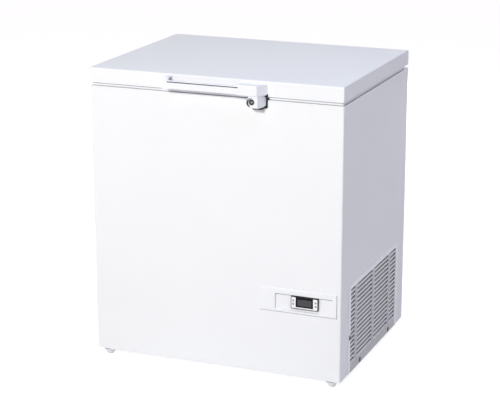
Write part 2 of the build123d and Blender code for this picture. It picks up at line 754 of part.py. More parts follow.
def lock_body():
    """Moulded lock housing on the cabinet, hollow from behind."""
    rear = front_y - backplate_t
    block = extrude(lock_outline(rear), rear - face_y)
    block -= slope_cut(face_y, front_y, lock_x1, lock_x1 + lock_slope)
    front = block.faces().sort_by(Axis.Y)[0]
    block = fillet(front.edges().sort_by(Axis.Z)[:-1], 1.5)
    floor_y = face_y + recess_deep + recess_floor
    hollow = extrude(lock_outline(rear + 1, 2.5), rear + 1 - floor_y)
    hollow -= slope_cut(face_y, front_y, lock_x1, lock_x1 + lock_slope, 3.0)
    block -= hollow
    block -= rod((key_x, face_y - 1, key_z), (0, 1, 0), recess_deep + 1, recess_r)
    block -= rod((key_x, face_y, key_z), (0, 1, 0), recess_deep + recess_floor + 3,
                 neck_r + run_gap)
    block -= box(key_x - lock_r - 1, side_x, lid_front_y - backplate_t - play, front_y + 1,
                 lid_z - 1, lock_top + 1)
    slot = box(key_x + 3.5, key_x + cam_reach + 8, cam_y - 2, cam_y + cam_t + 2,
               lock_top - 6, lock_top + 1)
    return block - slot


def lock_collar():
    """Black ring round the key barrel, with a neck through the recess floor."""
    floor_y = face_y + recess_deep
    ring = rod((key_x, barrel_y, key_z), (0, 1, 0), floor_y - barrel_y, collar_r)
    ring += rod((key_x, barrel_y, key_z), (0, 1, 0), floor_y + recess_floor - barrel_y, neck_r)
    return ring - rod((key_x, barrel_y - 1, key_z), (0, 1, 0), 20, barrel_r + run_gap)


def lock_backplate():
    """Black plate between the lock and the cabinet, showing at the right and below."""
    x1 = lock_x1 + lock_slope + backplate_right
    y0 = front_y - backplate_t
    lip = box(key_x - 1, x1, y0, front_y, key_z - lock_r - backplate_low, plate_top)
    lip = fillet(lip.edges().filter_by(Axis.Y).sort_by(Axis.Z)[:2], lock_corner - 2)
    ear = box(x1 - 4, x1 + backplate_ear, y0, front_y, top_z + 1, top_z + 6)
    plate = extrude(lock_outline(front_y, 1.0), backplate_t) + lip + ear
    return plate & box(0, side_x, y0, front_y, ceiling_z, plate_top)


def catch_plate():
    """Black plate behind the hood that carries the hook on the lid."""
    x0 = key_x + 8 + play
    x1 = hood_x1 + hood_slope + 1.5
    y0 = lid_front_y - backplate_t + play
    return box(x0, x1, y0, lid_front_y, lid_z + play, lid_z + catch_h)


def lock_barrel():
    """Key barrel with its slotted face."""
    start = barrel_y
    barrel = rod((key_x, start, key_z), (0, 1, 0), cam_y - 0.2 - start, barrel_r)
    barrel = chamfer(barrel.faces().sort_by(Axis.Y)[0].edges(), 0.4)
    return barrel - box(key_x - 0.6, key_x + 0.6, start - 1, start + 6, key_z - 2.6, key_z + 2.6)


def lock_cam():
    """Flat cam at the barrel's inner end, upright while the lock is open."""
    y0 = cam_y
    arm = box(key_x - cam_w / 2, key_x + cam_w / 2, y0, y0 + cam_t, key_z, key_z + cam_reach)
    arm &= rod((key_x, y0, key_z), (0, 1, 0), cam_t, cam_reach)
    return arm + rod((key_x, y0 - 0.2, key_z), (0, 1, 0), cam_t + 0.2, 4.5)


def hinge_base(x):
    """Rear hinge bracket on the cabinet: plate, closed spring housing and two ears."""
    plate_top = axis_z - knuckle_r - 6
    plate = box(x - hinge_plate_w / 2, x + hinge_plate_w / 2, back_y, back_y + hinge_plate,
                plate_top - hinge_plate_h, plate_top)
    plate = fillet(plate.edges().filter_by(Axis.Y), 5.0)
    ear_x = knuckle_w / 2 + ear_gap
    box_top = axis_z - knuckle_r - 3
    housing = box(x - ear_x - ear_t, x + ear_x + ear_t, back_y + 0.5, axis_y + 6,
                  box_top - spring_box_h, box_top)
    housing = fillet(housing.faces().sort_by(Axis.Y)[-1].edges(), 4.0)
    bracket = plate + housing
    for side in (-1, 1):
        inner = x + side * ear_x
        outer = inner + side * ear_t
        low, high = min(inner, outer), max(inner, outer)
        ear = box(low, high, back_y + 2, axis_y + knuckle_r, box_top - 20, axis_z)
        ear += rod((low, axis_y, axis_z), (1, 0, 0), ear_t, knuckle_r)
        bracket += ear
    bracket -= rod((x - 60, axis_y, axis_z), (1, 0, 0), 120, hinge_pin_r + run_gap)
    return bracket - screw_holes(hinge_seats, (0, 1, 0), 30)


def hinge_pin(x):
    """Headed hinge pin."""
    half = knuckle_w / 2 + ear_gap + ear_t
    pin = rod((x - half - 1.5, axis_y, axis_z), (1, 0, 0), 2 * half + 3, hinge_pin_r)
    return pin + rod((x - half - 2.5, axis_y, axis_z), (1, 0, 0), 2.3, hinge_pin_r + 2)


def hinge_leaf(x):
    """Leaf on the back of the lid, with its knuckle between the bracket's ears."""
    half = knuckle_w / 2
    leaf = box(x - half, x + half, back_y, back_y + hinge_plate, lid_z + 2, lid_top - 5)
    leaf = fillet(leaf.edges().filter_by(Axis.Y).sort_by(Axis.Z)[-2:], 5.0)
    web = box(x - half, x + half, back_y, axis_y, lid_z + 1, lid_z + 6)
    knuckle = rod((x - half, axis_y, axis_z), (1, 0, 0), knuckle_w, knuckle_r)
    arm = box(x - half, x + half, axis_y - 6, axis_y, axis_z, lid_z + 6)
    leaf = leaf + web + arm + knuckle
    leaf -= rod((x - half - 1, axis_y, axis_z), (1, 0, 0), knuckle_w + 2, hinge_pin_r + run_gap)
    return leaf - screw_holes(leaf_seats, (0, 1, 0), 20)


def condenser():
    """Finned condenser coil with its return bends."""
    half = cond_w / 2
    block = box(cond_x0, cond_x1, mid_y - half, mid_y + half, cond_z0, cond_z1)
    gap = (cond_w - fin_count * fin_t) / (fin_count - 1)
    core_0 = (cond_x0 + cond_x1) / 2 - fin_core / 2
    core_1 = core_0 + fin_core
    slots = []
    for fin in range(fin_count - 1):
        y0 = mid_y - half + fin_t + fin * (fin_t + gap)
        slots.append(box(cond_x0 - 1, core_0, y0, y0 + gap, cond_z0 - 1, cond_z1 + 1))
        slots.append(box(core_1, cond_x1 + 1, y0, y0 + gap, cond_z0 - 1, cond_z1 + 1))
    block = block - slots
    pitch = cond_h / cond_tubes
    middle = (cond_x0 + cond_x1) / 2
    for tube in range(cond_tubes - 1):
        side = 1 if tube % 2 else -1
        z = cond_z0 + pitch * (tube + 0.5)
        start = (middle, mid_y + side * half, z)
        out = 12.0
        points = (start, (middle, start[1] + side * out, z),
                  (middle, start[1] + side * out, z + pitch), (middle, start[1], z + pitch))
        block += pipe(points, 10.0, tube_r)
    return block


def fan_shroud():
    """Air duct from the condenser to the fan, with a collar round the blades."""
    half_y, half_z = cond_w / 2, cond_h / 2
    x1 = cond_x0 - play
    x0 = x1 - shroud_d
    duct = box(x0, x1, mid_y - half_y, mid_y + half_y, fan_z - half_z, fan_z + half_z)
    duct -= box(x0 + shroud_t, x1 + 1, mid_y - half_y + shroud_t, mid_y + half_y - shroud_t,
                fan_z - half_z + shroud_t, fan_z + half_z - shroud_t)
    collar = rod((x0 - 14, mid_y, fan_z), (1, 0, 0), 14 + shroud_t, fan_r + fan_gap + shroud_t)
    foot_strip = box(x0, x0 + 14, mid_y - half_y, mid_y + half_y, tray_top, fan_z - half_z)
    duct = duct + collar + foot_strip
    return duct - rod((x0 - 20, mid_y, fan_z), (1, 0, 0), 24 + shroud_t, fan_r + fan_gap)


def fan_x():
    """Inner end of the fan hub."""
    return cond_x0 - play - shroud_d - 18.0


def fan_rotor():
    """Axial fan with pitched blades on a moulded hub."""
    x0 = fan_x()
    hub = rod((x0, mid_y, fan_z), (1, 0, 0), hub_l, hub_r)
    hub = fillet(hub.faces().sort_by(Axis.X)[-1].edges(), 4.0)
    blades = []
    for blade in range(fan_blades):
        vane = Pos(0, 0, (hub_r + fan_r) / 2 - 2) * Rot(0, 0, blade_pitch) * Box(
            blade_t, blade_w, fan_r - hub_r + 8)
        blades.append(Rot(blade * 360 / fan_blades, 0, 0) * vane)
    swept = together(blades) & rod((-40, 0, 0), (1, 0, 0), 80, fan_r)
    rotor = hub + Pos(x0 + hub_l / 2, mid_y, fan_z) * swept
    return rotor - rod((x0 - 20, mid_y, fan_z), (1, 0, 0), 20 + hub_l - 5, shaft_r + run_gap)


def fan_motor():
    """Fan motor with its shaft."""
    x1 = fan_x() - 6.0
    body = rod((x1 - motor_l, mid_y, fan_z), (1, 0, 0), motor_l, motor_r)
    body = chamfer(body.edges(), 4.0)
    return body + rod((x1 - 1, mid_y, fan_z), (1, 0, 0), 6 + hub_l - 6, shaft_r)


def motor_bracket():
    """Steel bracket that stands the fan motor on the tray."""
    x1 = fan_x() - 6.0 - motor_l / 2 + strap_w / 2
    x0 = x1 - strap_w
    strap = rod((x0, mid_y, fan_z), (1, 0, 0), strap_w, motor_r + 2 + play)
    strap -= rod((x0 - 1, mid_y, fan_z), (1, 0, 0), strap_w + 2, motor_r + play)
    leg = box(x0, x1, mid_y - 26, mid_y + 26, tray_top, fan_z - motor_r + 8)
    leg -= box(x0 - 1, x1 + 1, mid_y - 24, mid_y + 24, tray_top + 2, fan_z)
    leg += box(x0 - 12, x1 + 12, mid_y - 26, mid_y + 26, tray_top, tray_top + 2)
    leg -= rod((x0 - 1, mid_y, fan_z), (1, 0, 0), strap_w + 2, motor_r + play)
    return strap + leg


def compressor_bolts():
    """Plan positions of the compressor's four rubber mounts."""
    return [(comp_x + dx, mid_y + dy) for dx in (-100.0, 100.0) for dy in (-70.0, 70.0)]


def compressor_foot():
    """Pressed foot plate under the compressor."""
    z = tray_top + grommet_h
    plate = round_box(comp_x - 118, comp_x + 118, mid_y - 88, mid_y + 88, z, z + comp_plate, 14)
    for x, y in compressor_bolts():
        plate -= rod((x, y, z - 1), (0, 0, 1), comp_plate + 2, grommet_r - 4 + play)
    return plate


def compressor_shell():
    """Hermetic compressor of two drawn shells with a welded band."""
    low = tray_top + grommet_h + comp_plate
    steps = [(comp_r * (1 - cos(radians(a))), comp_r * (1 - sin(radians(a))))
             for a in (0, 25, 50, 90)]
    levels = steps + [(comp_h - up, inset) for up, inset in reversed(steps)]
    body = Pos(comp_x, mid_y, low) * loft(
        [Pos(0, 0, up) * SlotOverall(comp_l - 50 - 2 * inset, comp_w - 20 - 2 * inset)
         for up, inset in levels], ruled=True)
    band = Pos(comp_x, mid_y, low + 0.55 * comp_h) * extrude(
        SlotOverall(comp_l - 46, comp_w - 16), 5)
    stub_z = low + comp_h - 14
    stubs = [rod((comp_x + dx, mid_y + 10, stub_z), (0, 0, 1), 22, 5) for dx in (-stub_pitch, 0, stub_pitch)]
    return body + band + stubs


def terminal_cover():
    """Cover over the compressor's terminals, start relay and protector."""
    y1 = mid_y - (comp_w - 20) / 2 - play
    low = tray_top + grommet_h + comp_plate + 34
    cover = box(comp_x - 34, comp_x + 34, y1 - 34, y1, low, low + 60)
    return fillet(cover.faces().sort_by(Axis.Y)[0].edges(), 5.0)


def grommets():
    """Rubber mounts under and in the compressor's foot plate."""
    mounts = []
    for x, y in compressor_bolts():
        mount = rod((x, y, tray_top), (0, 0, 1), grommet_h, grommet_r)
        mount += rod((x, y, tray_top), (0, 0, 1), grommet_h + comp_plate + 3, grommet_r - 4)
        mounts.append(mount - rod((x, y, tray_top - 1), (0, 0, 1), 40, bolt_r + 0.1))
    return together(mounts)


def mount_bolts():
    """Bolts down through the rubber mounts."""
    bolts = []
    head_z = tray_top + grommet_h + comp_plate + 3
    for x, y in compressor_bolts():
        bolt = rod((x, y, tray_top - 4), (0, 0, 1), head_z - tray_top + 4, bolt_r)
        bolts.append(bolt + Pos(x, y, head_z) * extrude(RegularPolygon(6.5, 6), 4.5))
    return together(bolts)


def compressor_top():
    """Top of the compressor's tube stubs."""
    return tray_top + grommet_h + comp_plate + comp_h + 8


def discharge_line():
    """Copper tube from the compressor over the fan to the top of the condenser."""
    top = (compressor_top() + ceiling_z) / 2 + 10
    middle = (cond_x0 + cond_x1) / 2
    x = comp_x + stub_pitch
    points = ((x, mid_y + 10, compressor_top()), (x, mid_y + 10, top),
              (middle, mid_y + 10, top), (middle, mid_y + 10, cond_z1))
    return pipe(points, 12.0, line_r)


def drier_end():
    """Right end of the filter drier."""
    return Vector(drier_x, back_y - drier_in, tray_top + drier_up)


def filter_drier():
    """Copper filter drier with necked ends, along the back."""
    end = drier_end()
    half = drier_l / 2
    profile = Polyline((0, 0), (line_r + 1.5, 0), (line_r + 1.5, 6), (drier_r, 16),
                       (drier_r, drier_l - 16), (line_r + 1.5, drier_l - 6),
                       (line_r + 1.5, drier_l), (0, drier_l), close=True)
    turned = revolve(Plane.XZ * make_face(profile), Axis.Z)
    return Pos(end.X - drier_l, end.Y, end.Z) * Rot(0, 90, 0) * turned


def liquid_line():
    """Copper tube from the foot of the condenser to the drier."""
    end = drier_end()
    middle = (cond_x0 + cond_x1) / 2
    z = cond_z0 + cond_h / cond_tubes / 2
    y0 = mid_y + cond_w / 2
    points = ((middle, y0, z), (middle, end.Y, z), (middle - drier_run, end.Y, end.Z), tuple(end))
    return pipe(points, 12.0, line_r)


def capillary_line():
    """Thin tube from the drier up to the evaporator's inlet."""
    start = drier_end() - Vector(drier_l, 0, 0)
    x = riser_x[1]
    points = (tuple(start), (x, start.Y, start.Z), (x, start.Y, ceiling_z - 30),
              (x, riser_y, ceiling_z - 30), (x, riser_y, ceiling_z + 6))
    return pipe(points, 10.0, line_r - 1)


def suction_line():
    """Wide tube from the evaporator's outlet back to the compressor."""
    x = riser_x[0]
    level = (compressor_top() + ceiling_z) / 2 + 6
    points = ((x, riser_y, ceiling_z + 6), (x, riser_y, level),
              (x, mid_y + 10, level), (x, mid_y + 10, compressor_top()))
    return pipe(points, 12.0, line_r)


def pipe_grommets():
    """Rubber rings where the tubes pass the compartment's ceiling."""
    rings = []
    for x, hole in zip(riser_x, (line_r, line_r - 1)):
        ring = rod((x, riser_y, ceiling_z - 3), (0, 0, 1), 3, line_r + 5)
        ring += rod((x, riser_y, ceiling_z - 3), (0, 0, 1), 3 + sheet, line_r + 2.4)
        rings.append(ring - rod((x, riser_y, ceiling_z - 5), (0, 0, 1), 12, hole + 0.05))
    return together(rings)


def electric_box():
    """Box for the mains terminals at the left, with its lid fused on."""
    x0, y0 = -side_x + terminal_box_in[0], front_y + terminal_box_in[1]
    x1, y1, z1 = x0 + terminal_box[0], y0 + terminal_box[1], tray_top + terminal_box[2]
    case = fillet(box(x0, x1, y0, y1, tray_top, z1).edges().filter_by(Axis.Z), 4.0)
    return case + box(x0 - 2, x1 + 2, y0 - 2, y1 + 2, z1 - 10, z1 + 2)


def cable_gland():
    """Mains inlet gland in the back panel and its nut, with no cable in it."""
    x, y, z = gland_at
    body = rod((x, y - 12, z), (0, 1, 0), 12, gland_r)
    hexagon = Plane((x, y, z), z_dir=(0, 1, 0)) * RegularPolygon(gland_r + 5, 6)
    body += extrude(hexagon, 6)
    dome = rod((x, y + 6, z), (0, 1, 0), gland_out - 6, gland_r + 2)
    body += chamfer(dome.faces().sort_by(Axis.Y)[-1].edges(), 3.0)
    body -= rod((x, y - 13, z), (0, 1, 0), gland_out + 14, gland_bore_r)
    ring = RegularPolygon(gland_r + 4, 6) - Circle(gland_r + 0.05)
    nut = extrude(Plane((x, y - sheet, z), z_dir=(0, -1, 0)) * ring, 5)
    return Compound([body, nut])


def probe():
    """Temperature probe in a clip on the well's right wall."""
    x = well_x - 6.0
    return rod((x, mid_y, top_z - 90), (0, 0, 1), 55, 2.5)


def probe_clip():
    """Clip that holds the probe to the liner."""
    x1 = well_x
    clip = box(x1 - 11, x1, mid_y - 6, mid_y + 6, top_z - 72, top_z - 58)
    return clip - rod((well_x - 6, mid_y, top_z - 80), (0, 0, 1), 40, 2.5 + 0.05)


def screws(seats, outward, length, head_h=screw_head_h):
    """A set of like screws."""
    return together([screw(seat, outward, length, head_h) for seat in seats])


save("cabinet_wrap", cabinet_wrap())
save("back_panel", back_panel())
save("base_tray", base_tray())
save("compartment_ceiling", compartment_ceiling())
save("liner_tub", liner_tub())
save("cabinet_foam", cabinet_foam())
save("rim_trim", rim_trim())
save("evaporator", evaporator())
save("control_fascia", control_fascia())
save("controller_bezel", controller_bezel())
save("controller_case", controller_case())
save("controller_clips", controller_clips())
save("display_window", display_window())
save("display_glass", display_glass())
for number, spot in enumerate(button_spots(), 1):
    save(f"button_{number}", button(*spot))
save("side_grille", side_grille())
save("grille_screws", screws(bolt_seats, (1, 0, 0), 6, lid_side))
save("feet", together([foot(*spot) for spot in foot_spots]))
save("foot_nuts", foot_nuts())
save("lid_skin", lid_skin())
save("lid_liner", lid_liner())
save("lid_foam", lid_foam())
save("lid_gasket", lid_gasket())
save("lid_handle", lid_handle())
save("catch_plate", catch_plate())
save("catch_hook", hook_plate())
save("lock_body", lock_body())
save("lock_collar", lock_collar())
save("lock_backplate", lock_backplate())
save("lock_barrel", lock_barrel())
save("lock_cam", lock_cam())
save("hinge_bases", hinge_base(-hinge_x) + hinge_base(hinge_x))
save("hinge_pins", hinge_pin(-hinge_x) + hinge_pin(hinge_x))
save("hinge_leaves", hinge_leaf(-hinge_x) + hinge_leaf(hinge_x))
save("hinge_screws", screws(hinge_seats, (0, 1, 0), hinge_screw_l))
save("leaf_screws", screws(leaf_seats, (0, 1, 0), leaf_screw_l))
save("back_screws", screws(back_seats, (0, 1, 0), back_screw_l))
save("condenser", condenser())
save("fan_shroud", fan_shroud())
save("fan_rotor", fan_rotor())
save("fan_motor", fan_motor())
save("motor_bracket", motor_bracket())
save("compressor_shell", compressor_shell())
save("compressor_foot", compressor_foot())
save("terminal_cover", terminal_cover())
save("grommets", grommets())
save("mount_bolts", mount_bolts())
save("discharge_line", discharge_line())
save("suction_line", suction_line())
save("filter_drier", filter_drier())
save("liquid_line", liquid_line())
save("capillary_line", capillary_line())
save("pipe_grommets", pipe_grommets())
save("electric_box", electric_box())
save("cable_gland", cable_gland())
save("probe", probe())
save("probe_clip", probe_clip())
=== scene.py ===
# %% [markdown]
# # A chest freezer, dressed for its picture
# The construction model gives every piece of the freezer at its real size and place. This script
# adds what that model lacks: the finish of each surface, the display's segments, the thin foils,
# tapes and washers and the recesses of the screws, and then the light, the floor and the camera.
# The frame stays as it is: a finish is put on a piece, and a piece is never moved or reshaped.

# %% Load the frame
import json
import math

import bmesh
import bpy
from mathutils import Matrix, Vector


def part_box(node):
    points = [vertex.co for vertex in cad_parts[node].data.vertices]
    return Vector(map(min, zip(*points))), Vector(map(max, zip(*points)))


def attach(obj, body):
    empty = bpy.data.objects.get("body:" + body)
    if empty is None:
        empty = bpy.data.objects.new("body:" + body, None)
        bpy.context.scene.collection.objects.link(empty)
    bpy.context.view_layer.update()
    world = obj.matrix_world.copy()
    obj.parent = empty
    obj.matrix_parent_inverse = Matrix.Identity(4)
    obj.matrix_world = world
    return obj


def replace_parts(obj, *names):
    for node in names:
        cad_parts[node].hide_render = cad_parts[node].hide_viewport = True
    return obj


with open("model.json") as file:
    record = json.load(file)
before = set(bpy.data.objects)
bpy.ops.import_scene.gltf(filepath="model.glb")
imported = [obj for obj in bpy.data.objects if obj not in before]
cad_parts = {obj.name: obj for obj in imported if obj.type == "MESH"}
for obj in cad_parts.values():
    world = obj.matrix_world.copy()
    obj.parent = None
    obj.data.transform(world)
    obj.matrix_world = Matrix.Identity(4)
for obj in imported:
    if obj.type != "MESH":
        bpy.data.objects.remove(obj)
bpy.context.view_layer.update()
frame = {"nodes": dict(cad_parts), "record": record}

MM = 0.001

# %% [markdown]
# ## The camera
# A catalogue picture of a large appliance is taken from some metres away with a long lens, so
# that upright edges stay nearly upright. One could eye the camera in, but a box gives a better
# way: its corners in the picture fix where the camera stood. The camera stands 4.6 m away, to the
# right of the front and a little above the lid, and its lens shift is left at nought.

# %% Camera
CAMERA_AT = Vector((1.661, -4.117, 1.672))
CAMERA_AIM = Vector((-0.007, -0.003, 0.397))
LENS_MM, SENSOR_MM, FAR_CLIP = 116.2, 36.0, 60.0


def add_object(name, data):
    """Puts a camera, a lamp or a mesh into the scene as an object."""
    thing = bpy.data.objects.new(name, data)
    bpy.context.scene.collection.objects.link(thing)
    return thing


def stand(thing, at, aim):
    """Places a camera or a lamp, and aims it at a point."""
    thing.location = at
    thing.rotation_euler = (Vector(aim) - Vector(at)).to_track_quat("-Z", "Y").to_euler()


camera_data = bpy.data.cameras.new("camera")
camera_data.sensor_width = SENSOR_MM
camera_data.lens = LENS_MM
camera_data.clip_end = FAR_CLIP
camera = add_object("camera", camera_data)
stand(camera, CAMERA_AT, CAMERA_AIM)
bpy.context.scene.camera = camera
print("camera distance:", round((CAMERA_AIM - CAMERA_AT).length, 2), "m")

# %% [markdown]
# ## Colours and nodes
# Colours are written as the hex values that a paint chart or a picture gives. A shader wants
# linear light, so one function turns each hex value into it. Another adds a node, sets it up and
# links it, which keeps each finish below as short as its recipe.

# %% Two small helpers
def linear(hex_code):
    """Linear colour of an sRGB hex value."""
    parts = [int(hex_code[at:at + 2], 16) / 255 for at in (1, 3, 5)]
    return [p / 12.92 if p <= 0.04045 else ((p + 0.055) / 1.055) ** 2.4 for p in parts] + [1.0]


def add_node(tree, kind, inputs=None, **settings):
    """Adds a node, sets it up, and gives its inputs values or other nodes' outputs."""
    node = tree.nodes.new(kind)
    for setting, value in settings.items():
        setattr(node, setting, value)
    for name, value in (inputs or {}).items():
        if isinstance(value, bpy.types.NodeSocket):
            tree.links.new(value, node.inputs[name])
        else:
            node.inputs[name].default_value = value
    return node


def per_metre(size_mm):
    """Scale of a pattern whose features are this many millimetres apart."""
    return 1000.0 / size_mm


MIX_FACTOR, MIX_A, MIX_B, MIX_COLOUR = 0, 6, 7, 2   # sockets of a colour mix


def start_finish(name, **look):
    """A new material, its node tree, its shader and the coordinates of the piece in metres."""
    material = bpy.data.materials.new(name)
    material.use_nodes = True
    tree = material.node_tree
    shader = tree.nodes["Principled BSDF"]
    for socket, value in look.items():
        shader.inputs[socket.replace("_", " ")].default_value = value
    place = add_node(tree, "ShaderNodeTexCoord").outputs["Object"]
    return material, tree, shader, place


print("enamel white as linear light:", [round(c, 3) for c in linear("#F4F5F6")])

# %% [markdown]
# ## White enamelled steel
# The cabinet and the lid are steel sheet with a white polyester powder coat, baked on. The coat
# flows into a faint orange peel a few millimetres across, so a lamp's reflection is soft and
# slightly uneven, and the white drifts a little over a whole panel as the coat's thickness does.
# A flat white would lose both. Noise at two sizes is enough: a slow one for the drift, and a fine
# one for the peel, drawn somewhat coarser than real so that it shows at this distance.

# %% Enamelled steel
def enamelled_steel(name, white, thin_white, peel_mm, peel_depth_mm):
    material, tree, shader, place = start_finish(name, IOR=1.5, Specular_IOR_Level=0.35)
    drift = add_node(tree, "ShaderNodeTexNoise",
                     {"Vector": place, "Scale": per_metre(260), "Detail": 2.0})
    colour = add_node(tree, "ShaderNodeMix",
                      {MIX_FACTOR: drift.outputs["Fac"], MIX_A: linear(white),
                       MIX_B: linear(thin_white)}, data_type="RGBA")
    gloss = add_node(tree, "ShaderNodeMapRange",
                     {"Value": drift.outputs["Fac"], "To Min": 0.26, "To Max": 0.36})
    peel = add_node(tree, "ShaderNodeTexNoise",
                    {"Vector": place, "Scale": per_metre(peel_mm), "Detail": 1.0})
    relief = add_node(tree, "ShaderNodeBump",
                      {"Height": peel.outputs["Fac"], "Distance": peel_depth_mm * MM,
                       "Strength": 0.35})
    tree.links.new(colour.outputs[MIX_COLOUR], shader.inputs["Base Color"])
    tree.links.new(gloss.outputs["Result"], shader.inputs["Roughness"])
    tree.links.new(relief.outputs["Normal"], shader.inputs["Normal"])
    return material


white_enamel = enamelled_steel("white powder coated steel", "#F5F6F7", "#F1F2F4", 4.0, 0.04)
black_enamel = enamelled_steel("black enamelled steel", "#151517", "#1E1E20", 3.0, 0.08)
print("made", white_enamel.name, "and", black_enamel.name)

# %% [markdown]
# ## Galvanised steel
# The tray, the sheet over the machine compartment, the fan's duct and the brackets are hot-dip
# galvanised. Zinc freezes into flat crystals about a centimetre across, and each crystal has its
# own grey and its own gloss. A texture of random cells gives just such crystals: the colour of a
# cell sets both its grey and its roughness.

# %% Galvanised steel
def galvanised_steel(name, spangle_mm):
    material, tree, shader, place = start_finish(name, Metallic=1.0)
    spangle = add_node(tree, "ShaderNodeTexVoronoi",
                       {"Vector": place, "Scale": per_metre(spangle_mm)})
    grey = add_node(tree, "ShaderNodeMix",
                    {MIX_FACTOR: spangle.outputs["Color"], MIX_A: linear("#9EA2A6"),
                     MIX_B: linear("#C3C7CA")}, data_type="RGBA")
    gloss = add_node(tree, "ShaderNodeMapRange",
                     {"Value": spangle.outputs["Color"], "To Min": 0.34, "To Max": 0.55})
    tree.links.new(grey.outputs[MIX_COLOUR], shader.inputs["Base Color"])
    tree.links.new(gloss.outputs["Result"], shader.inputs["Roughness"])
    return material


zinc_sheet = galvanised_steel("hot-dip galvanised steel", 11.0)
print("made", zinc_sheet.name)

# %% [markdown]
# ## Stainless steel of the well
# The well is drawn from stainless sheet that is polished in one direction, which leaves fine
# upright scratches that pull reflections out sideways. Stretching a fine noise along the height
# gives such scratches: the coordinates are squeezed in two directions and hardly in the third.

# %% Brushed stainless steel
def brushed_steel(name, scratch_mm, streak_mm):
    material, tree, shader, place = start_finish(name, Metallic=1.0, Base_Color=linear("#C8C9CA"))
    along = add_node(tree, "ShaderNodeMapping",
                     {"Vector": place, "Scale": (per_metre(scratch_mm), per_metre(scratch_mm),
                                                 per_metre(streak_mm))})
    scratches = add_node(tree, "ShaderNodeTexNoise",
                         {"Vector": along.outputs["Vector"], "Scale": 1.0, "Detail": 3.0})
    gloss = add_node(tree, "ShaderNodeMapRange",
                     {"Value": scratches.outputs["Fac"], "To Min": 0.22, "To Max": 0.46})
    relief = add_node(tree, "ShaderNodeBump",
                      {"Height": scratches.outputs["Fac"], "Distance": 0.02 * MM,
                       "Strength": 0.4})
    tree.links.new(gloss.outputs["Result"], shader.inputs["Roughness"])
    tree.links.new(relief.outputs["Normal"], shader.inputs["Normal"])
    return material


stainless_liner = brushed_steel("brushed stainless steel", 1.2, 90.0)
print("made", stainless_liner.name)

# %% [markdown]
# ## Moulded plastics
# The handle, the lock housing, the controller's frame, the grille and the trims are injection
# moulded. The steel mould is spark eroded, so the moulding takes over a very fine even grain that
# makes its shine satin. All plastics here share that recipe: a colour that varies by a hair, and
# a fine noise as relief, drawn at about half a millimetre where the real grain is finer.

# %% Moulded plastic
def moulded_plastic(name, colour, shade, roughness, grain_mm=0.6, grain_depth_mm=0.012, **look):
    material, tree, shader, place = start_finish(name, IOR=1.53, **look)
    cloud = add_node(tree, "ShaderNodeTexNoise",
                     {"Vector": place, "Scale": per_metre(60), "Detail": 2.0})
    varied = add_node(tree, "ShaderNodeMix",
                      {MIX_FACTOR: cloud.outputs["Fac"], MIX_A: linear(colour),
                       MIX_B: linear(shade)}, data_type="RGBA")
    grain = add_node(tree, "ShaderNodeTexNoise",
                     {"Vector": place, "Scale": per_metre(grain_mm), "Detail": 2.0})
    gloss = add_node(tree, "ShaderNodeMapRange",
                     {"Value": grain.outputs["Fac"], "To Min": roughness - 0.05,
                      "To Max": roughness + 0.05})
    relief = add_node(tree, "ShaderNodeBump",
                      {"Height": grain.outputs["Fac"], "Distance": grain_depth_mm * MM,
                       "Strength": 0.5})
    tree.links.new(varied.outputs[MIX_COLOUR], shader.inputs["Base Color"])
    tree.links.new(gloss.outputs["Result"], shader.inputs["Roughness"])
    tree.links.new(relief.outputs["Normal"], shader.inputs["Normal"])
    return material


white_plastic = moulded_plastic("white moulded ABS", "#F3F4F7", "#EFF0F3", 0.36)
black_plastic = moulded_plastic("black moulded ABS", "#0E0E10", "#141416", 0.45,
                                Specular_IOR_Level=0.25)
grey_buttons = moulded_plastic("grey silicone rubber keys", "#9DA1A8", "#979BA2", 0.55)
clip_plastic = moulded_plastic("natural nylon clip", "#E8E6DE", "#E2DFD5", 0.42)
print("made", [m.name for m in (white_plastic, black_plastic, grey_buttons, clip_plastic)])

# %% [markdown]
# ## Painted shade, by place
# Some finishes get painted shade where less light falls: deep in the grille's slots, on its ribs,
# on the seal just below the lid's edge and on the feet's tops under the cabinet. A painted picture
# could hold that, but here it follows the shape. So a finish is tinted either between two levels
# along one axis, or inside one box of the frame, and both functions end by mixing the shade's
# colour in before the shader's own.

# %% Tints by place
def paint_shade_mix(material, share, colour):
    """Mixes a painted shade's colour into a finish, by the share that a node gives."""
    tree = material.node_tree
    colour_in = tree.nodes["Principled BSDF"].inputs["Base Color"]
    tinted = add_node(tree, "ShaderNodeMix",
                      {MIX_FACTOR: share, MIX_A: colour_in.links[0].from_socket,
                       MIX_B: linear(colour)}, data_type="RGBA")
    tree.links.new(tinted.outputs[MIX_COLOUR], colour_in)


def place_of(material):
    """Node that gives a point's place in metres, one output for each axis."""
    tree = material.node_tree
    place = add_node(tree, "ShaderNodeTexCoord").outputs["Object"]
    return add_node(tree, "ShaderNodeSeparateXYZ", {"Vector": place})


def paint_shade_along(material, axis, full, none, colour):
    """Paints shade into a finish between two levels along one axis of the frame."""
    share = add_node(material.node_tree, "ShaderNodeMapRange",
                     {"Value": place_of(material).outputs[axis], "From Min": none,
                      "From Max": full})
    paint_shade_mix(material, share.outputs["Result"], colour)


def paint_shade_inside(material, low, high, colour):
    """Paints shade into a finish inside one box of the frame."""
    tree, place, share = material.node_tree, place_of(material), 1.0
    for axis, start, end in zip("XYZ", low, high):
        inside = add_node(tree, "ShaderNodeMath",
                          {0: place.outputs[axis], 1: (start + end) / 2, 2: (end - start) / 2},
                          operation="COMPARE")
        both = add_node(tree, "ShaderNodeMath", {0: inside.outputs["Value"], 1: share},
                        operation="MULTIPLY")
        share = both.outputs["Value"]
    paint_shade_mix(material, share, colour)


print("tints by place: along an axis, and inside a box")
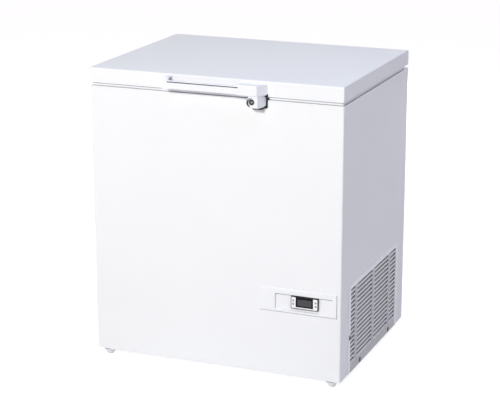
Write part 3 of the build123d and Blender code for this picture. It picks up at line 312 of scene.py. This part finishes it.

# %% [markdown]
# ## The grille's plastic
# The grille is moulded from the same ABS, with polished blades that catch the white of the room.
# Its colour goes to black deep in the slots between the blades, a painted shade of the slots, and
# the ribs between them and the foot below them are painted a duller grey for the shade they sit
# in, while the rim stays as white as the side.

# %% Grille plastic
# painted shade of the slots: it starts and is full at these depths behind the grille's face
SLOT_SHADE_FROM, SLOT_SHADE_FULL = 2.6 * MM, 3.6 * MM       # depth behind the grille's face
RIBS_FROM, RIBS_TO, RIBS_HIGH = 15 * MM, 423 * MM, 242 * MM
grille_plastic = moulded_plastic("white moulded ABS of the grille", "#FAFAFB", "#F6F6F8", 0.3,
                                 Specular_IOR_Level=0.9)
grille_low, grille_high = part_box("side_grille")
# painted shade: black deep in the slots between the blades
paint_shade_along(grille_plastic, "X", grille_high.x - SLOT_SHADE_FULL, grille_high.x - SLOT_SHADE_FROM,
               "#0F0E10")
# painted shade: a duller grey on the ribs and on the foot below them
paint_shade_inside(grille_plastic,
             (grille_high.x - 0.1 * MM, grille_low.y + RIBS_FROM, grille_low.z),
             (grille_high.x + 1 * MM, grille_low.y + RIBS_TO, grille_low.z + RIBS_HIGH),
             "#A7A2A7")
print("made", grille_plastic.name)

# %% [markdown]
# ## Soft seals, feet and rubber
# The lid's gasket is soft PVC, duller than the steel beside it. Just below the lid's edge its
# colour turns grey with height, a painted shadow of the lid's edge on it. The feet are turned
# nylon, which lets a little light in, so its shadows are soft, and their tops are painted grey, a
# painted shade where they meet the cabinet. The machine's mounts are black nitrile rubber with a
# dusty bloom. They are kept apart because softness shows as a lack of shine, which one plastic for
# all would not give.

# %% Seals, feet and rubber
# painted shadow of the lid's edge on the seal's top: how far below the edge it reaches, and its
# soft border
SEAL_SHADOW_DROP, SEAL_SHADOW_BLUR = 3.5 * MM, 0.3 * MM       # below the lid's edge, and its soft border
seal = moulded_plastic("white soft PVC", "#F5F7FB", "#F0F2F7", 0.52, 1.5, 0.02)
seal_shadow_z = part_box("lid_skin")[0].z - SEAL_SHADOW_DROP
# painted shadow: the seal is grey above this level, under the lid's edge
paint_shade_along(seal, "Z", seal_shadow_z + SEAL_SHADOW_BLUR, seal_shadow_z, "#B4B6BB")
nylon = moulded_plastic("turned nylon", "#F6F6F8", "#F0F0F3", 0.40, 1.0, 0.01,
                        Subsurface_Weight=0.15, Subsurface_Scale=0.004)
# painted shade under the cabinet: a foot is painted grey at its top and stays white below
FOOT_SHADE_FULL, FOOT_SHADE_FROM = 17.6 * MM, 16.8 * MM    # a foot is grey above, and white below
paint_shade_along(nylon, "Z", FOOT_SHADE_FULL, FOOT_SHADE_FROM, "#77797E")
black_rubber = moulded_plastic("black nitrile rubber", "#141414", "#262625", 0.72, 2.0, 0.05)
print("made", seal.name, nylon.name, black_rubber.name)

# %% [markdown]
# ## Insulating foam
# Between the sheets the walls are filled with blown polyurethane, which yellows and shows its
# cells where it is cut. It is hidden in the finished freezer, but a piece that someone uncovers
# should look right, so its cells are drawn about a millimetre and a half wide.

# %% Polyurethane foam
def polyurethane_foam(name, cell_mm):
    material, tree, shader, place = start_finish(name, Roughness=0.85)
    cells = add_node(tree, "ShaderNodeTexVoronoi",
                     {"Vector": place, "Scale": per_metre(cell_mm)})
    colour = add_node(tree, "ShaderNodeMix",
                      {MIX_FACTOR: cells.outputs["Distance"], MIX_A: linear("#D9C68E"),
                       MIX_B: linear("#EFE2BC")}, data_type="RGBA")
    relief = add_node(tree, "ShaderNodeBump",
                      {"Height": cells.outputs["Distance"], "Distance": 0.6 * MM,
                       "Strength": 0.6})
    tree.links.new(colour.outputs[MIX_COLOUR], shader.inputs["Base Color"])
    tree.links.new(relief.outputs["Normal"], shader.inputs["Normal"])
    return material


foam = polyurethane_foam("blown polyurethane foam", 1.6)
print("made", foam.name)

# %% [markdown]
# ## Metals of the fittings and the machine
# Screws and hinges are zinc plated, apart from the blackened ones of the grille. The key barrel is
# chromed, the pipes are drawn copper, the condenser's fins are rolled aluminium and the motor is a
# painted casting. A metal's look is its colour and its roughness, so they share one recipe with
# two greys or browns, a wide roughness band where the surface is handled or oxidised, and a fine
# relief for the tool's marks.

# %% Bare and plated metals
def plain_metal(name, bright, dull, smooth, rough, stain_mm, metallic=1.0):
    material, tree, shader, place = start_finish(name, Metallic=metallic)
    stain = add_node(tree, "ShaderNodeTexNoise",
                     {"Vector": place, "Scale": per_metre(stain_mm), "Detail": 4.0})
    colour = add_node(tree, "ShaderNodeMix",
                      {MIX_FACTOR: stain.outputs["Fac"], MIX_A: linear(bright),
                       MIX_B: linear(dull)}, data_type="RGBA")
    gloss = add_node(tree, "ShaderNodeMapRange",
                     {"Value": stain.outputs["Fac"], "To Min": smooth, "To Max": rough})
    relief = add_node(tree, "ShaderNodeBump",
                      {"Height": stain.outputs["Fac"], "Distance": 0.03 * MM,
                       "Strength": 0.4})
    tree.links.new(colour.outputs[MIX_COLOUR], shader.inputs["Base Color"])
    tree.links.new(gloss.outputs["Result"], shader.inputs["Roughness"])
    tree.links.new(relief.outputs["Normal"], shader.inputs["Normal"])
    return material


zinc_steel = plain_metal("zinc plated steel", "#C2C6CB", "#A9A99E", 0.24, 0.42, 9.0)
chrome = plain_metal("satin chromed casting", "#A6A8AC", "#8C8E92", 0.22, 0.34, 6.0)
copper = plain_metal("drawn copper tube", "#C98259", "#8E5A3F", 0.25, 0.50, 14.0)
condenser_alloy = plain_metal("rolled aluminium fins", "#B9BCBF", "#9A9DA1", 0.35, 0.60, 5.0)
motor_grey = plain_metal("grey painted casting", "#85898E", "#787C81", 0.40, 0.55, 4.0, 0.0)
black_screw = plain_metal("black oxide steel", "#1A1A1C", "#101012", 0.45, 0.60, 3.0, 0.0)
print("made", [m.name for m in (zinc_steel, chrome, copper, condenser_alloy, motor_grey,
                                black_screw)])

# %% [markdown]
# ## The display
# The controller's window is smoked acrylic, polished like glass and nearly black. The display
# behind it is a grey liquid crystal cell with a matt polariser on top. Switched off, its segments
# are just visible as slightly darker bars. The foil round the window is printed polyester, a
# little glossier than the mouldings. The grey tapes, the grey arc at the key's recess and the
# bar's strip hardly shine, like foam and rubber; the greys of the tapes and of the arc are painted
# shade. All are plastics, so they take the same recipe with other sizes of grain.

# %% Window, display, foil and tapes
window_black = moulded_plastic("smoked acrylic", "#050506", "#070708", 0.12, 8.0, 0.0,
                               Specular_IOR_Level=0.12)
display_grey = moulded_plastic("liquid crystal cell", "#303337", "#2C2F33", 0.32, 0.5, 0.004)
segment_grey = moulded_plastic("dark crystal segments", "#1C1E20", "#191B1D", 0.32, 0.5, 0.004)
printed_foil = moulded_plastic("white printed foil", "#F6F6F7", "#F2F2F4", 0.30, 0.8, 0.004)
# its grey also draws the arc at the left of the key's recess, which is painted shade
strip_grey = moulded_plastic("dark grey cord rubber", "#63656B", "#5C5E64", 0.60, 1.2, 0.01)
# painted shadow: the grey of the tapes that draw shadow lines round the panel and its pocket
shadow_tape_grey = moulded_plastic("grey tape of painted shadow", "#9EA0A4", "#96989D", 0.75, 1.0, 0.05)
print("made", [m.name for m in (window_black, display_grey, segment_grey, printed_foil,
                                strip_grey, shadow_tape_grey)])

# %% [markdown]
# ## Putting the finishes on
# The record says which slot each piece takes its finish from. One table from slot to finish
# covers every piece, so that no piece keeps the plain colour that it came with.

# %% Assign the finishes
finishes = {
    "white_enamel": white_enamel, "zinc_sheet": zinc_sheet, "stainless_liner": stainless_liner,
    "foam": foam, "white_plastic": white_plastic, "grey_buttons": grey_buttons, "seal": seal,
    "black_plastic": black_plastic, "window_black": window_black, "display_grey": display_grey,
    "nylon": nylon, "black_rubber": black_rubber, "zinc_steel": zinc_steel, "chrome": chrome,
    "copper": copper, "black_enamel": black_enamel, "condenser_alloy": condenser_alloy,
    "motor_grey": motor_grey, "clip_plastic": clip_plastic,
}
own = {"side_grille": grille_plastic}       # a node with a finish of its own
dressed = 0
for part in frame["record"]["subparts"]:
    mesh = frame["nodes"][part["node"]].data
    mesh.materials.clear()
    mesh.materials.append(own.get(part["node"], finishes[part["material_slot"]]))
    dressed += 1
print("dressed", dressed, "pieces in", len(finishes), "finishes")

# %% [markdown]
# ## New pieces and thin sheets
# The pieces that follow are too small for the construction model: printed foil, grey tapes, rubber
# washers and dark sheets of painted shade. Nearly all are flat sheets, cut to an outline and laid
# on a face. Each outline could be a list of points, but arcs with straight runs between them
# describe them all in a few words. The outlines of one sheet are filled together, so an inner
# outline stays open as a hole. That is done at the sheet's back and again at its front, and a wall
# round each outline joins the two. A new piece gets its finish and the body that it rides on.

# %% Outlines
def arc(centre, radius, start, turn, steps):
    """Points along a part of a circle, from an angle on, in degrees."""
    angles = [math.radians(start + turn * step / steps) for step in range(steps + 1)]
    return [Vector((centre[0] + radius * math.cos(a), centre[1] + radius * math.sin(a)))
            for a in angles]


def rounded(x0, z0, x1, z1, radius):
    """Outline of a rectangle with rounded corners."""
    centres = ((x1 - radius, z1 - radius), (x0 + radius, z1 - radius),
               (x0 + radius, z0 + radius), (x1 - radius, z0 + radius))
    return [point for quarter, centre in enumerate(centres)
            for point in arc(centre, radius, 90 * quarter, 90, 4)]


print("points round a rounded rectangle:", len(rounded(0, 0, 2, 1, 0.1)))

# %% New pieces
FRONT, RIGHT = Vector((0, -1, 0)), Vector((1, 0, 0))


def new_piece(name, mesh, material, body):
    """Turns a bmesh into an object that has a finish and rides on a body."""
    bmesh.ops.recalc_face_normals(mesh, faces=mesh.faces)
    data = bpy.data.meshes.new(name)
    mesh.to_mesh(data)
    mesh.free()
    data.materials.append(material)
    piece = add_object(name, data)
    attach(piece, body)
    return piece


def wall(mesh, lower, upper):
    """Faces between two rings with the same number of points."""
    for at in range(len(lower)):
        mesh.faces.new((lower[at - 1], lower[at], upper[at], upper[at - 1]))


def lay_sheet(name, outlines, out, level, thick, material, body="cabinet"):
    """Lays a flat sheet on the face at a level, facing out; later outlines are holes."""
    up = Vector((0, 0, 1))
    place = Matrix((up.cross(out), up, out)).transposed().to_4x4()
    place.translation = Vector([abs(share) for share in out]) * level
    mesh = bmesh.new()
    back, front = ([[mesh.verts.new((c[0], c[1], height)) for c in outline]
                    for outline in outlines] for height in (0, thick))
    for rims in (back, front):
        edges = [mesh.edges.new((rim[k - 1], rim[k])) for rim in rims for k in range(len(rim))]
        bmesh.ops.triangle_fill(mesh, use_beauty=True, edges=edges)
    for lower, upper in zip(back, front):
        wall(mesh, lower, upper)
    bmesh.ops.transform(mesh, matrix=place, verts=mesh.verts)
    sheet = new_piece(name, mesh, material, body)
    print(f"{name}: {len(sheet.data.polygons)} faces, {thick / MM:.2f} mm thick")


print("sheets can face", tuple(FRONT), "and", tuple(RIGHT))

# %% [markdown]
# ## The display's segments
# A panel controller of this size shows three figures of seven segments. Text would do, but a
# real segment is a bar with pointed ends and a slight slant, so each is drawn as a thin six-sided
# plate. Their places follow from the glass: its box gives the width, height and front plane.

# %% Seven-segment figures
FIGURES, PITCH, SLANT = 3, 10.2 * MM, 0.10
FIGURE_W, FIGURE_H = 6.6 * MM, 11.5 * MM
BAR_HALF, BAR_GAP, BAR_T = 0.75 * MM, 0.35 * MM, 0.05 * MM


def segment_outline(start, end, half):
    """Corners of a bar with pointed ends between two points in the plane of the glass."""
    along = (end - start).normalized()
    across = Vector((-along.y, along.x)) * half
    tip = along * half
    return [start, start + tip + across, end - tip + across, end, end - tip - across,
            start + tip - across]


def display_figures(low, high):
    """The figures on the front of the glass, as one thin mesh."""
    middle = (low + high) / 2
    x, z = FIGURE_W / 2, FIGURE_H / 2
    bars = [((-x, z), (x, z)), ((-x, 0), (x, 0)), ((-x, -z), (x, -z)), ((-x, 0), (-x, z)),
            ((x, 0), (x, z)), ((-x, -z), (-x, 0)), ((x, -z), (x, 0))]
    mesh = bmesh.new()
    for figure in range(FIGURES):
        centre = Vector((middle.x + (figure - (FIGURES - 1) / 2) * PITCH, middle.z))
        for start, end in bars:
            start, end = Vector(start), Vector(end)
            inset = (end - start).normalized() * BAR_GAP
            corners = [centre + Vector((p.x + SLANT * p.y, p.y))
                       for p in segment_outline(start + inset, end - inset, BAR_HALF)]
            front = [mesh.verts.new((c.x, low.y - BAR_T, c.y)) for c in corners]
            back = [mesh.verts.new((c.x, low.y, c.y)) for c in corners]
            mesh.faces.new(front)
            mesh.faces.new(back[::-1])
            for at in range(len(corners)):
                after = (at + 1) % len(corners)
                mesh.faces.new((front[after], front[at], back[at], back[after]))
    return mesh


segments = new_piece("display_segments", display_figures(*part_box("display_glass")), segment_grey,
                     "cabinet")
print("display segments:", len(segments.data.polygons), "faces")

# %% [markdown]
# ## The controller's foil
# A thin printed foil covers the black frame of the controller and leaves a dark edge all round.
# It is white beside and below the window and ends at the window's top, with four round holes for
# the keys.

# %% Foil on the controller
FOIL_EDGE, FOIL_TOP = 2.0 * MM, 3.2 * MM        # black edge left at the sides, and at the top
FOIL_OVERLAP, FOIL_CORNER, FOIL_T = 1.6 * MM, 1.5 * MM, 0.25 * MM
KEY_HOLE_R = 2.85 * MM
bezel_low, bezel_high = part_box("controller_bezel")
window_low, window_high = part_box("display_window")
left, right = bezel_low.x + FOIL_EDGE, bezel_high.x - FOIL_EDGE
bottom, top = bezel_low.z + FOIL_EDGE, bezel_high.z - FOIL_TOP
cover = [(left, top)]
cover += arc((left + FOIL_CORNER, bottom + FOIL_CORNER), FOIL_CORNER, 180, 90, 4)
cover += arc((right - FOIL_CORNER, bottom + FOIL_CORNER), FOIL_CORNER, 270, 90, 4)
cover += [(right, top), (window_high.x, top), (window_high.x, window_low.z + FOIL_OVERLAP),
          (window_low.x, window_low.z + FOIL_OVERLAP), (window_low.x, top)]
foil_outlines = [cover]
for number in range(1, 5):
    key_low, key_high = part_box(f"button_{number}")
    middle = (key_low + key_high) / 2
    foil_outlines.append(arc((middle.x, middle.z), KEY_HOLE_R, 0, 342, 19))
lay_sheet("controller_foil", foil_outlines, FRONT, bezel_low.y, FOIL_T, printed_foil)

# %% [markdown]
# ## Painted shadow lines of the panel
# A grey tape lies under the controller's panel on the cabinet's front. Cut to the panel's own
# outline it would stay hidden, but it stands out below and at the right, where its grey is a
# painted shadow line along those edges. Two short grey tapes at the top of the panel's pocket, one
# on each side of the controller, are a painted shadow under the pocket's top edge.

# %% Tape under the panel
TAPE_EDGE = (-1 * MM, 1.3 * MM, 1.1 * MM, -1 * MM)      # past the panel: left, below, right, above
TAPE_HOLE = (-4 * MM, -2 * MM, -2 * MM, -4 * MM)
TAPE_ROUND, TAPE_T = 1 * MM, 0.8 * MM
panel_low, panel_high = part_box("control_fascia")
tape_outlines = [rounded(panel_low.x - past[0], panel_low.z - past[1], panel_high.x + past[2],
                         panel_high.z + past[3], TAPE_ROUND) for past in (TAPE_EDGE, TAPE_HOLE)]
# painted shadow: the tape's grey shows below and at the right of the panel
lay_sheet("panel_shadow_tape", tape_outlines, FRONT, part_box("cabinet_wrap")[0].y, TAPE_T, shadow_tape_grey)

# %% Tapes in the pocket
TAPE_GAP, TAPE_LEFT, TAPE_RIGHT = 0.4 * MM, 45.8 * MM, 39.8 * MM    # from the controller's sides
TAPE_BELOW, TAPE_ABOVE = 2.2 * MM, 1.4 * MM                         # from its top edge
TAPE_END, POCKET_TAPE_T = 0.4 * MM, 0.5 * MM
tape_ends = ((bezel_low.x - TAPE_LEFT, bezel_low.x - TAPE_GAP),
             (bezel_high.x + TAPE_GAP, bezel_high.x + TAPE_RIGHT))
tapes = [rounded(start, bezel_high.z - TAPE_BELOW, end, bezel_high.z + TAPE_ABOVE, TAPE_END)
         for start, end in tape_ends]
# painted shadow: grey tapes under the pocket's top edge
lay_sheet("pocket_shadow_tapes", tapes, FRONT, bezel_high.y, POCKET_TAPE_T, shadow_tape_grey)

# %% [markdown]
# ## Painted shade round the lock
# Below the lock's plate a black rubber sheet stands out a few millimetres and sweeps up to the
# plate's right corner; its black is a painted shadow line under the lock. A black ring round the
# key's opening is painted shade of the gap round the barrel, and a grey arc at the left of the
# round recess is painted shade on the recess's left wall. All three are sheets again: the lower
# sheet's outline is two arcs and two points, the ring's is two circles, and the arc's is two arcs
# that run in opposite ways. A black pad in the hollow of the handle's left post, painted shade of
# that hollow, is cut likewise.

# %% Painted shadow under the lock's plate
LOCK_SHADOW_BELOW, LOCK_SHADOW_IN, LOCK_SHADOW_UP, LOCK_SHADOW_T = 4.9 * MM, 5 * MM, 12 * MM, 2.2 * MM
LOCK_SHADOW_CORNER, LOCK_SHADOW_SWEEP, SWEEP_IN, SWEEP_W = 3 * MM, 21 * MM, 25 * MM, 16 * MM
plate_low, plate_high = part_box("lock_backplate")
lock_shadow_left, sweep_x = plate_low.x + LOCK_SHADOW_IN, plate_high.x - SWEEP_IN
lock_shadow_low, lock_shadow_top = plate_low.z - LOCK_SHADOW_BELOW, plate_low.z + LOCK_SHADOW_UP
lock_shadow_outline = arc((lock_shadow_left + LOCK_SHADOW_CORNER, lock_shadow_low + LOCK_SHADOW_CORNER), LOCK_SHADOW_CORNER, 180, 90, 4)
lock_shadow_outline += arc((sweep_x, lock_shadow_low + LOCK_SHADOW_SWEEP), LOCK_SHADOW_SWEEP, 270, 42, 6)
lock_shadow_outline += [(sweep_x + SWEEP_W, lock_shadow_top), (lock_shadow_left, lock_shadow_top)]
# painted shadow: a black sheet that draws the dark line under the lock
lay_sheet("lock_shadow_sheet", [lock_shadow_outline], FRONT, plate_high.y, LOCK_SHADOW_T, black_rubber)

# %% Painted shade in the handle's left post
SHADE_PAD_FRONT, SHADE_PAD_IN, SHADE_PAD_ROUND, SHADE_PAD_T = 13.5 * MM, 4 * MM, 3 * MM, 0.8 * MM
SHADE_PAD_X = -129 * MM       # right face of the wall that closes the post's hollow
handle_low, handle_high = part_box("lid_handle")
shade_pad_outline = rounded(handle_low.y + SHADE_PAD_FRONT, handle_low.z + SHADE_PAD_IN, handle_high.y - SHADE_PAD_IN,
              handle_high.z - SHADE_PAD_IN, SHADE_PAD_ROUND)
# painted shade: a black pad that darkens the hollow of the post
lay_sheet("post_shade_pad", [shade_pad_outline], RIGHT, SHADE_PAD_X, SHADE_PAD_T, black_rubber, "lid")

# %% Painted shade round the key
KEY_SHADE_R, KEY_SHADE_HOLE_R, KEY_SHADE_T = 7.3 * MM, 3.3 * MM, 0.6 * MM
SHADE_ARC_R, SHADE_ARC_IN_R, SHADE_ARC_T = 12.3 * MM, 11.2 * MM, 6.0 * MM
# the black ring and the grey arc of painted shade stand this far before the barrel's face
KEY_CLEAR = 0.2 * MM    # washer to the barrel's face, which turns behind it
barrel_low, barrel_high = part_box("lock_barrel")
key = ((barrel_low.x + barrel_high.x) / 2, (barrel_low.z + barrel_high.z) / 2)
key_shade_outlines = [arc(key, radius, 0, 350, 35) for radius in (KEY_SHADE_R, KEY_SHADE_HOLE_R)]
# painted shade: a black ring round the key, for the gap round the barrel
lay_sheet("key_shade_ring", key_shade_outlines, FRONT, barrel_low.y - KEY_CLEAR, KEY_SHADE_T, black_rubber)
recess_shade_outline = arc(key, SHADE_ARC_R, 105, 140, 14) + arc(key, SHADE_ARC_IN_R, 245, -140, 14)
# painted shade: a grey arc on the left wall of the round recess
lay_sheet("recess_shade_arc", [recess_shade_outline], FRONT, barrel_low.y - KEY_CLEAR, SHADE_ARC_T, strip_grey)

# %% [markdown]
# ## Catch and washers of the grille
# A spring catch holds the grille's front edge, and rubber washers lie round the heads of its two
# screws. The washers need the place of each screw, and the construction model has both screws in
# one node. So the mesh is parted into its loose pieces: from any point, the edges lead to the rest
# of its piece. The pieces are sorted by their places, so that each run gives the same order.

# %% Loose pieces of a node
def loose_boxes(node):
    """Lowest and highest corner of each loose piece of a node, in the order of their places."""
    mesh = bmesh.new()
    mesh.from_mesh(frame["nodes"][node].data)
    bmesh.ops.remove_doubles(mesh, verts=mesh.verts, dist=1e-6)
    left, boxes = set(mesh.verts), []
    while left:
        pile, piece = [left.pop()], []
        while pile:
            vert = pile.pop()
            piece.append(vert.co.copy())
            near = [edge.other_vert(vert) for edge in vert.link_edges]
            fresh = [other for other in near if other in left]
            left.difference_update(fresh)
            pile += fresh
        boxes.append(tuple(Vector([pick(co[axis] for co in piece) for axis in range(3)])
                           for pick in (min, max)))
    mesh.free()
    return sorted(boxes, key=lambda corners: tuple(corners[0]))


screw_boxes = loose_boxes("grille_screws")
print("screws in the grille:", len(screw_boxes))

# %% Catch and washers
CATCH_FROM, CATCH_TO, CATCH_LOW, CATCH_TOP = 6 * MM, 13 * MM, 118 * MM, 131 * MM
CATCH_ROUND, CATCH_T = 1.5 * MM, 1.2 * MM
catch = rounded(grille_low.y + CATCH_FROM, CATCH_LOW, grille_low.y + CATCH_TO, CATCH_TOP,
                CATCH_ROUND)
lay_sheet("grille_catch", [catch], RIGHT, grille_high.x, CATCH_T, black_rubber)
RING_R, RING_HOLE_R, RING_T = 7.0 * MM, 4.3 * MM, 0.4 * MM
for number, (low, high) in enumerate(screw_boxes, 1):
    middle = (low + high) / 2
    circles = [arc((middle.y, middle.z), radius, 0, 345, 23) for radius in (RING_R, RING_HOLE_R)]
    lay_sheet(f"grille_washer_{number}", circles, RIGHT, grille_high.x, RING_T, black_rubber)

# %% [markdown]
# ## The slit along the bar
# A narrow slit runs along the top of the handle's bar. It is a groove in the moulding with a dark
# strip pressed into it, whose front bulges a little over the groove's edges. The strip's section
# is half a flattened circle with a root behind it, and it is drawn out along the bar.

# %% Strip in the bar's groove
STRIP_FROM, STRIP_TO, STRIP_UP = -119.8 * MM, 82.8 * MM, 24.5 * MM
STRIP_HALF, STRIP_DEEP = 0.98 * MM, 3.98 * MM
BULGE_WIDER, BULGE_FLAT = 1.6, 0.4      # shares of the groove's half height, and of a circle


def round_strip(x0, x1, face_y, depth, z, half):
    """A strip in a groove, with a flat bulging front that is wider than the groove."""
    section = [Vector((face_y + (p.x - face_y) * BULGE_FLAT, p.y))
               for p in arc((face_y, z), half * BULGE_WIDER, 270, -180, 8)]
    section += [Vector((face_y, z + half)), Vector((face_y + depth, z + half)),
                Vector((face_y + depth, z - half)), Vector((face_y, z - half))]
    mesh = bmesh.new()
    ends = [[mesh.verts.new((x, p.x, p.y)) for p in section] for x in (x0, x1)]
    mesh.faces.new(ends[0])
    mesh.faces.new(ends[1][::-1])
    for at in range(len(section)):
        mesh.faces.new((ends[0][at - 1], ends[1][at - 1], ends[1][at], ends[0][at]))
    return mesh


slit_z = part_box("lid_skin")[0].z + STRIP_UP
strip = round_strip(STRIP_FROM, STRIP_TO, handle_low.y, STRIP_DEEP, slit_z, STRIP_HALF)
new_piece("bar_strip", strip, strip_grey, "lid")
print("strip in the bar's groove at z", round(slit_z, 4))

# %% [markdown]
# ## Cross-recess screws
# The construction model has a plain disc for each screw head. A pan head is a turned dome with a
# flat middle, and the driver's recess is a plus sign sunk into it. One function lathes the head
# and the ridged shank from rings of points and lets the recess in. It is called once for every
# loose piece of the screw nodes, so each head sits where the construction model has it.

# %% One screw
SHANK_SIDES, HEAD_SIDES = 12, 24
THREAD_PITCH, THREAD_WAIST = 1.2 * MM, 0.78
HEAD_PROFILE = ((1.0, 0.0), (1.0, 0.35), (0.93, 0.70), (0.80, 0.92), (0.62, 1.0))
CROSS_ARM, CROSS_HALF = 0.46, 0.12      # shares of the head's radius
CROSS_TAPER, CROSS_FLOOR = 0.8, 0.35    # width at its floor, and the floor's height in the head
THREAD_TOP = -0.1 * MM                  # no ridge comes nearer to the head


def ring(mesh, place, radius, height, steps):
    """A ring of points round a screw's axis."""
    turns = [2 * math.pi * step / steps for step in range(steps)]
    return [mesh.verts.new(place @ Vector((radius * math.cos(a), radius * math.sin(a), height)))
            for a in turns]


def add_screw(mesh, seat, out, radius, height, shank_r, length):
    """Adds a pan head screw with a cross recess; its head rests at seat and faces out."""
    place = Matrix.Translation(seat) @ out.to_track_quat("Z", "Y").to_matrix().to_4x4()
    waist_r, tip = shank_r * THREAD_WAIST, -length + shank_r
    point = mesh.verts.new(place @ Vector((0, 0, -length)))
    turns = max(1, int((length - shank_r) / THREAD_PITCH))
    shank = [ring(mesh, place, waist_r, tip, SHANK_SIDES)]
    for turn in range(turns):
        level = tip + (turn + 0.5) * THREAD_PITCH
        shank.append(ring(mesh, place, shank_r, min(level, THREAD_TOP), SHANK_SIDES))
        shank.append(ring(mesh, place, waist_r, min(level + THREAD_PITCH / 2, 0.0), SHANK_SIDES))
    for at in range(SHANK_SIDES):
        mesh.faces.new((point, shank[0][at], shank[0][at - 1]))
    for lower, upper in zip(shank, shank[1:]):
        wall(mesh, lower, upper)
    mesh.faces.new(shank[-1])
    head = [ring(mesh, place, radius * r, height * h, HEAD_SIDES) for r, h in HEAD_PROFILE]
    mesh.faces.new(head[0][::-1])
    for lower, upper in zip(head, head[1:]):
        wall(mesh, lower, upper)
    arm, half = radius * CROSS_ARM, radius * CROSS_HALF
    plus = [(arm, -half), (arm, half), (half, half), (half, arm), (-half, arm), (-half, half),
            (-arm, half), (-arm, -half), (-half, -half), (-half, -arm), (half, -arm),
            (half, -half)]
    rim = [mesh.verts.new(place @ Vector((x, y, height))) for x, y in plus]
    sunk = [mesh.verts.new(place @ Vector((x * CROSS_TAPER, y * CROSS_TAPER,
                                           height * CROSS_FLOOR))) for x, y in plus]
    edges = [mesh.edges.get((head[-1][at - 1], head[-1][at])) for at in range(HEAD_SIDES)]
    edges += [mesh.edges.new((rim[at - 1], rim[at])) for at in range(len(rim))]
    bmesh.ops.triangle_fill(mesh, use_beauty=True, edges=edges)
    wall(mesh, rim, sunk)
    mesh.faces.new(sunk)


print("bands round a screw's head:", len(HEAD_PROFILE) - 1)

# %% All screws
BACK = Vector((0, 1, 0))
SHANK_R, GRILLE_HEAD_H, STEEL_HEAD_H = 1.95 * MM, 1.0 * MM, 2.4 * MM


def dress_screws(node, out, height, body, metal):
    """Cross-recess screws that take the place of a node's plain ones."""
    axis = 0 if out.x else 1
    mesh = bmesh.new()
    boxes = loose_boxes(node)
    for low, high in boxes:
        seat = (low + high) / 2
        seat[axis] = high[axis] - height
        add_screw(mesh, seat, out, (high.z - low.z) / 2, height, SHANK_R, seat[axis] - low[axis])
    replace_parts(new_piece(f"cross_{node}", mesh, metal, body), node)
    return len(boxes)


counts = [dress_screws("grille_screws", RIGHT, GRILLE_HEAD_H, "cabinet", black_screw)]
for node, body in (("back_screws", "cabinet"), ("hinge_screws", "cabinet"),
                   ("leaf_screws", "lid")):
    counts.append(dress_screws(node, BACK, STEEL_HEAD_H, body, zinc_steel))
print("screws:", counts)

# %% [markdown]
# ## Light
# The picture was taken in a white studio: a broad lamp before the front, somewhat left and high,
# a cooler one above the right side, and light from the white walls everywhere else. The front is
# nearly white, the lid's top is a cool light grey and the right side is a soft lavender grey. So
# the world gives an even, slightly violet light, and the lamps add the rest. The high front lamp
# also draws the shadows under the handle and the lock. A third lamp behind the freezer is only
# for a look from there. It stands lower than the lid and in the middle, so that neither the top
# nor a side mirrors it. The world is white for the camera, and for what glossy and clear surfaces
# show, which turns the background white without more light on the freezer.

# %% World light
WORLD_STRENGTH = 0.31


def seen_directly(tree):
    """One for a ray from the camera or from a glossy or clear surface, and nought for the rest."""
    ray = add_node(tree, "ShaderNodeLightPath")
    seen = ray.outputs["Is Camera Ray"]
    for kind in ("Is Glossy Ray", "Is Transmission Ray"):
        seen = add_node(tree, "ShaderNodeMath", {0: seen, 1: ray.outputs[kind]},
                        operation="MAXIMUM").outputs["Value"]
    return seen


world = bpy.data.worlds.new("studio")
bpy.context.scene.world = world
world.use_nodes = True
tree = world.node_tree
seen = seen_directly(tree)
violet = add_node(tree, "ShaderNodeMix", {MIX_FACTOR: seen, MIX_A: linear("#FBEFFF"),
                                          MIX_B: linear("#FFFFFF")}, data_type="RGBA")
power = add_node(tree, "ShaderNodeMapRange", {"Value": seen, "To Min": WORLD_STRENGTH,
                                              "To Max": 1.0})
background = tree.nodes["Background"]
tree.links.new(violet.outputs[MIX_COLOUR], background.inputs["Color"])
tree.links.new(power.outputs["Result"], background.inputs["Strength"])
print("world strength for diffuse light:", WORLD_STRENGTH)

# %% Studio lamps
def area_lamp(name, at, aim, size, watts, colour):
    """A round lamp at a place, aimed at a point."""
    data = bpy.data.lights.new(name, "AREA")
    data.shape = "DISK"
    data.size = size
    data.energy = watts
    data.color = linear(colour)[:3]
    stand(add_object(name, data), at, aim)


area_lamp("key_lamp", (-0.6, -4.1, 2.7), (-0.05, -0.28, 0.42), 0.9, 123, "#FFFFF7")
area_lamp("ceiling_lamp", (1.1, -0.7, 3.0), (0.2, 0.0, 0.6), 1.2, 20, "#C2DEFF")
area_lamp("back_lamp", (0.0, 4.0, 0.4), (0.0, 0.28, 0.4), 0.75, 55, "#FFFFFF")

# %% [markdown]
# ## Floor
# The floor is one broad sheet of white studio paper. Lit by the lamps alone it would be a light
# grey, so for the camera and for reflections it also glows by a fixed amount that brings it up to
# white. What the freezer shades gets only that glow, so the shadow stays on the floor.

# %% Floor
FLOOR_SIZE, FLOOR_GLOW = 30.0, 0.72


def studio_paper():
    material, tree, shader, _ = start_finish(
        "white studio paper", Roughness=0.9, Base_Color=linear("#E6E6E6"), Specular_IOR_Level=0.2,
        Emission_Color=linear("#FFFFFF"))
    glow = add_node(tree, "ShaderNodeMath", {0: seen_directly(tree), 1: FLOOR_GLOW},
                    operation="MULTIPLY")
    tree.links.new(glow.outputs["Value"], shader.inputs["Emission Strength"])
    return material


mesh = bmesh.new()
bmesh.ops.create_grid(mesh, x_segments=1, y_segments=1, size=FLOOR_SIZE / 2)
floor_data = bpy.data.meshes.new("floor")
mesh.to_mesh(floor_data)
mesh.free()
floor_data.materials.append(studio_paper())
floor = add_object("floor", floor_data)
print("floor:", FLOOR_SIZE, "m square")

# %% [markdown]
# ## Last settings
# The view transform is Standard, so a colour shows as it is written. Foil, tapes and washers go
# past the frame's pieces by about a millimetre.

# %% Finish
bpy.context.scene.view_settings.view_transform = "Standard"
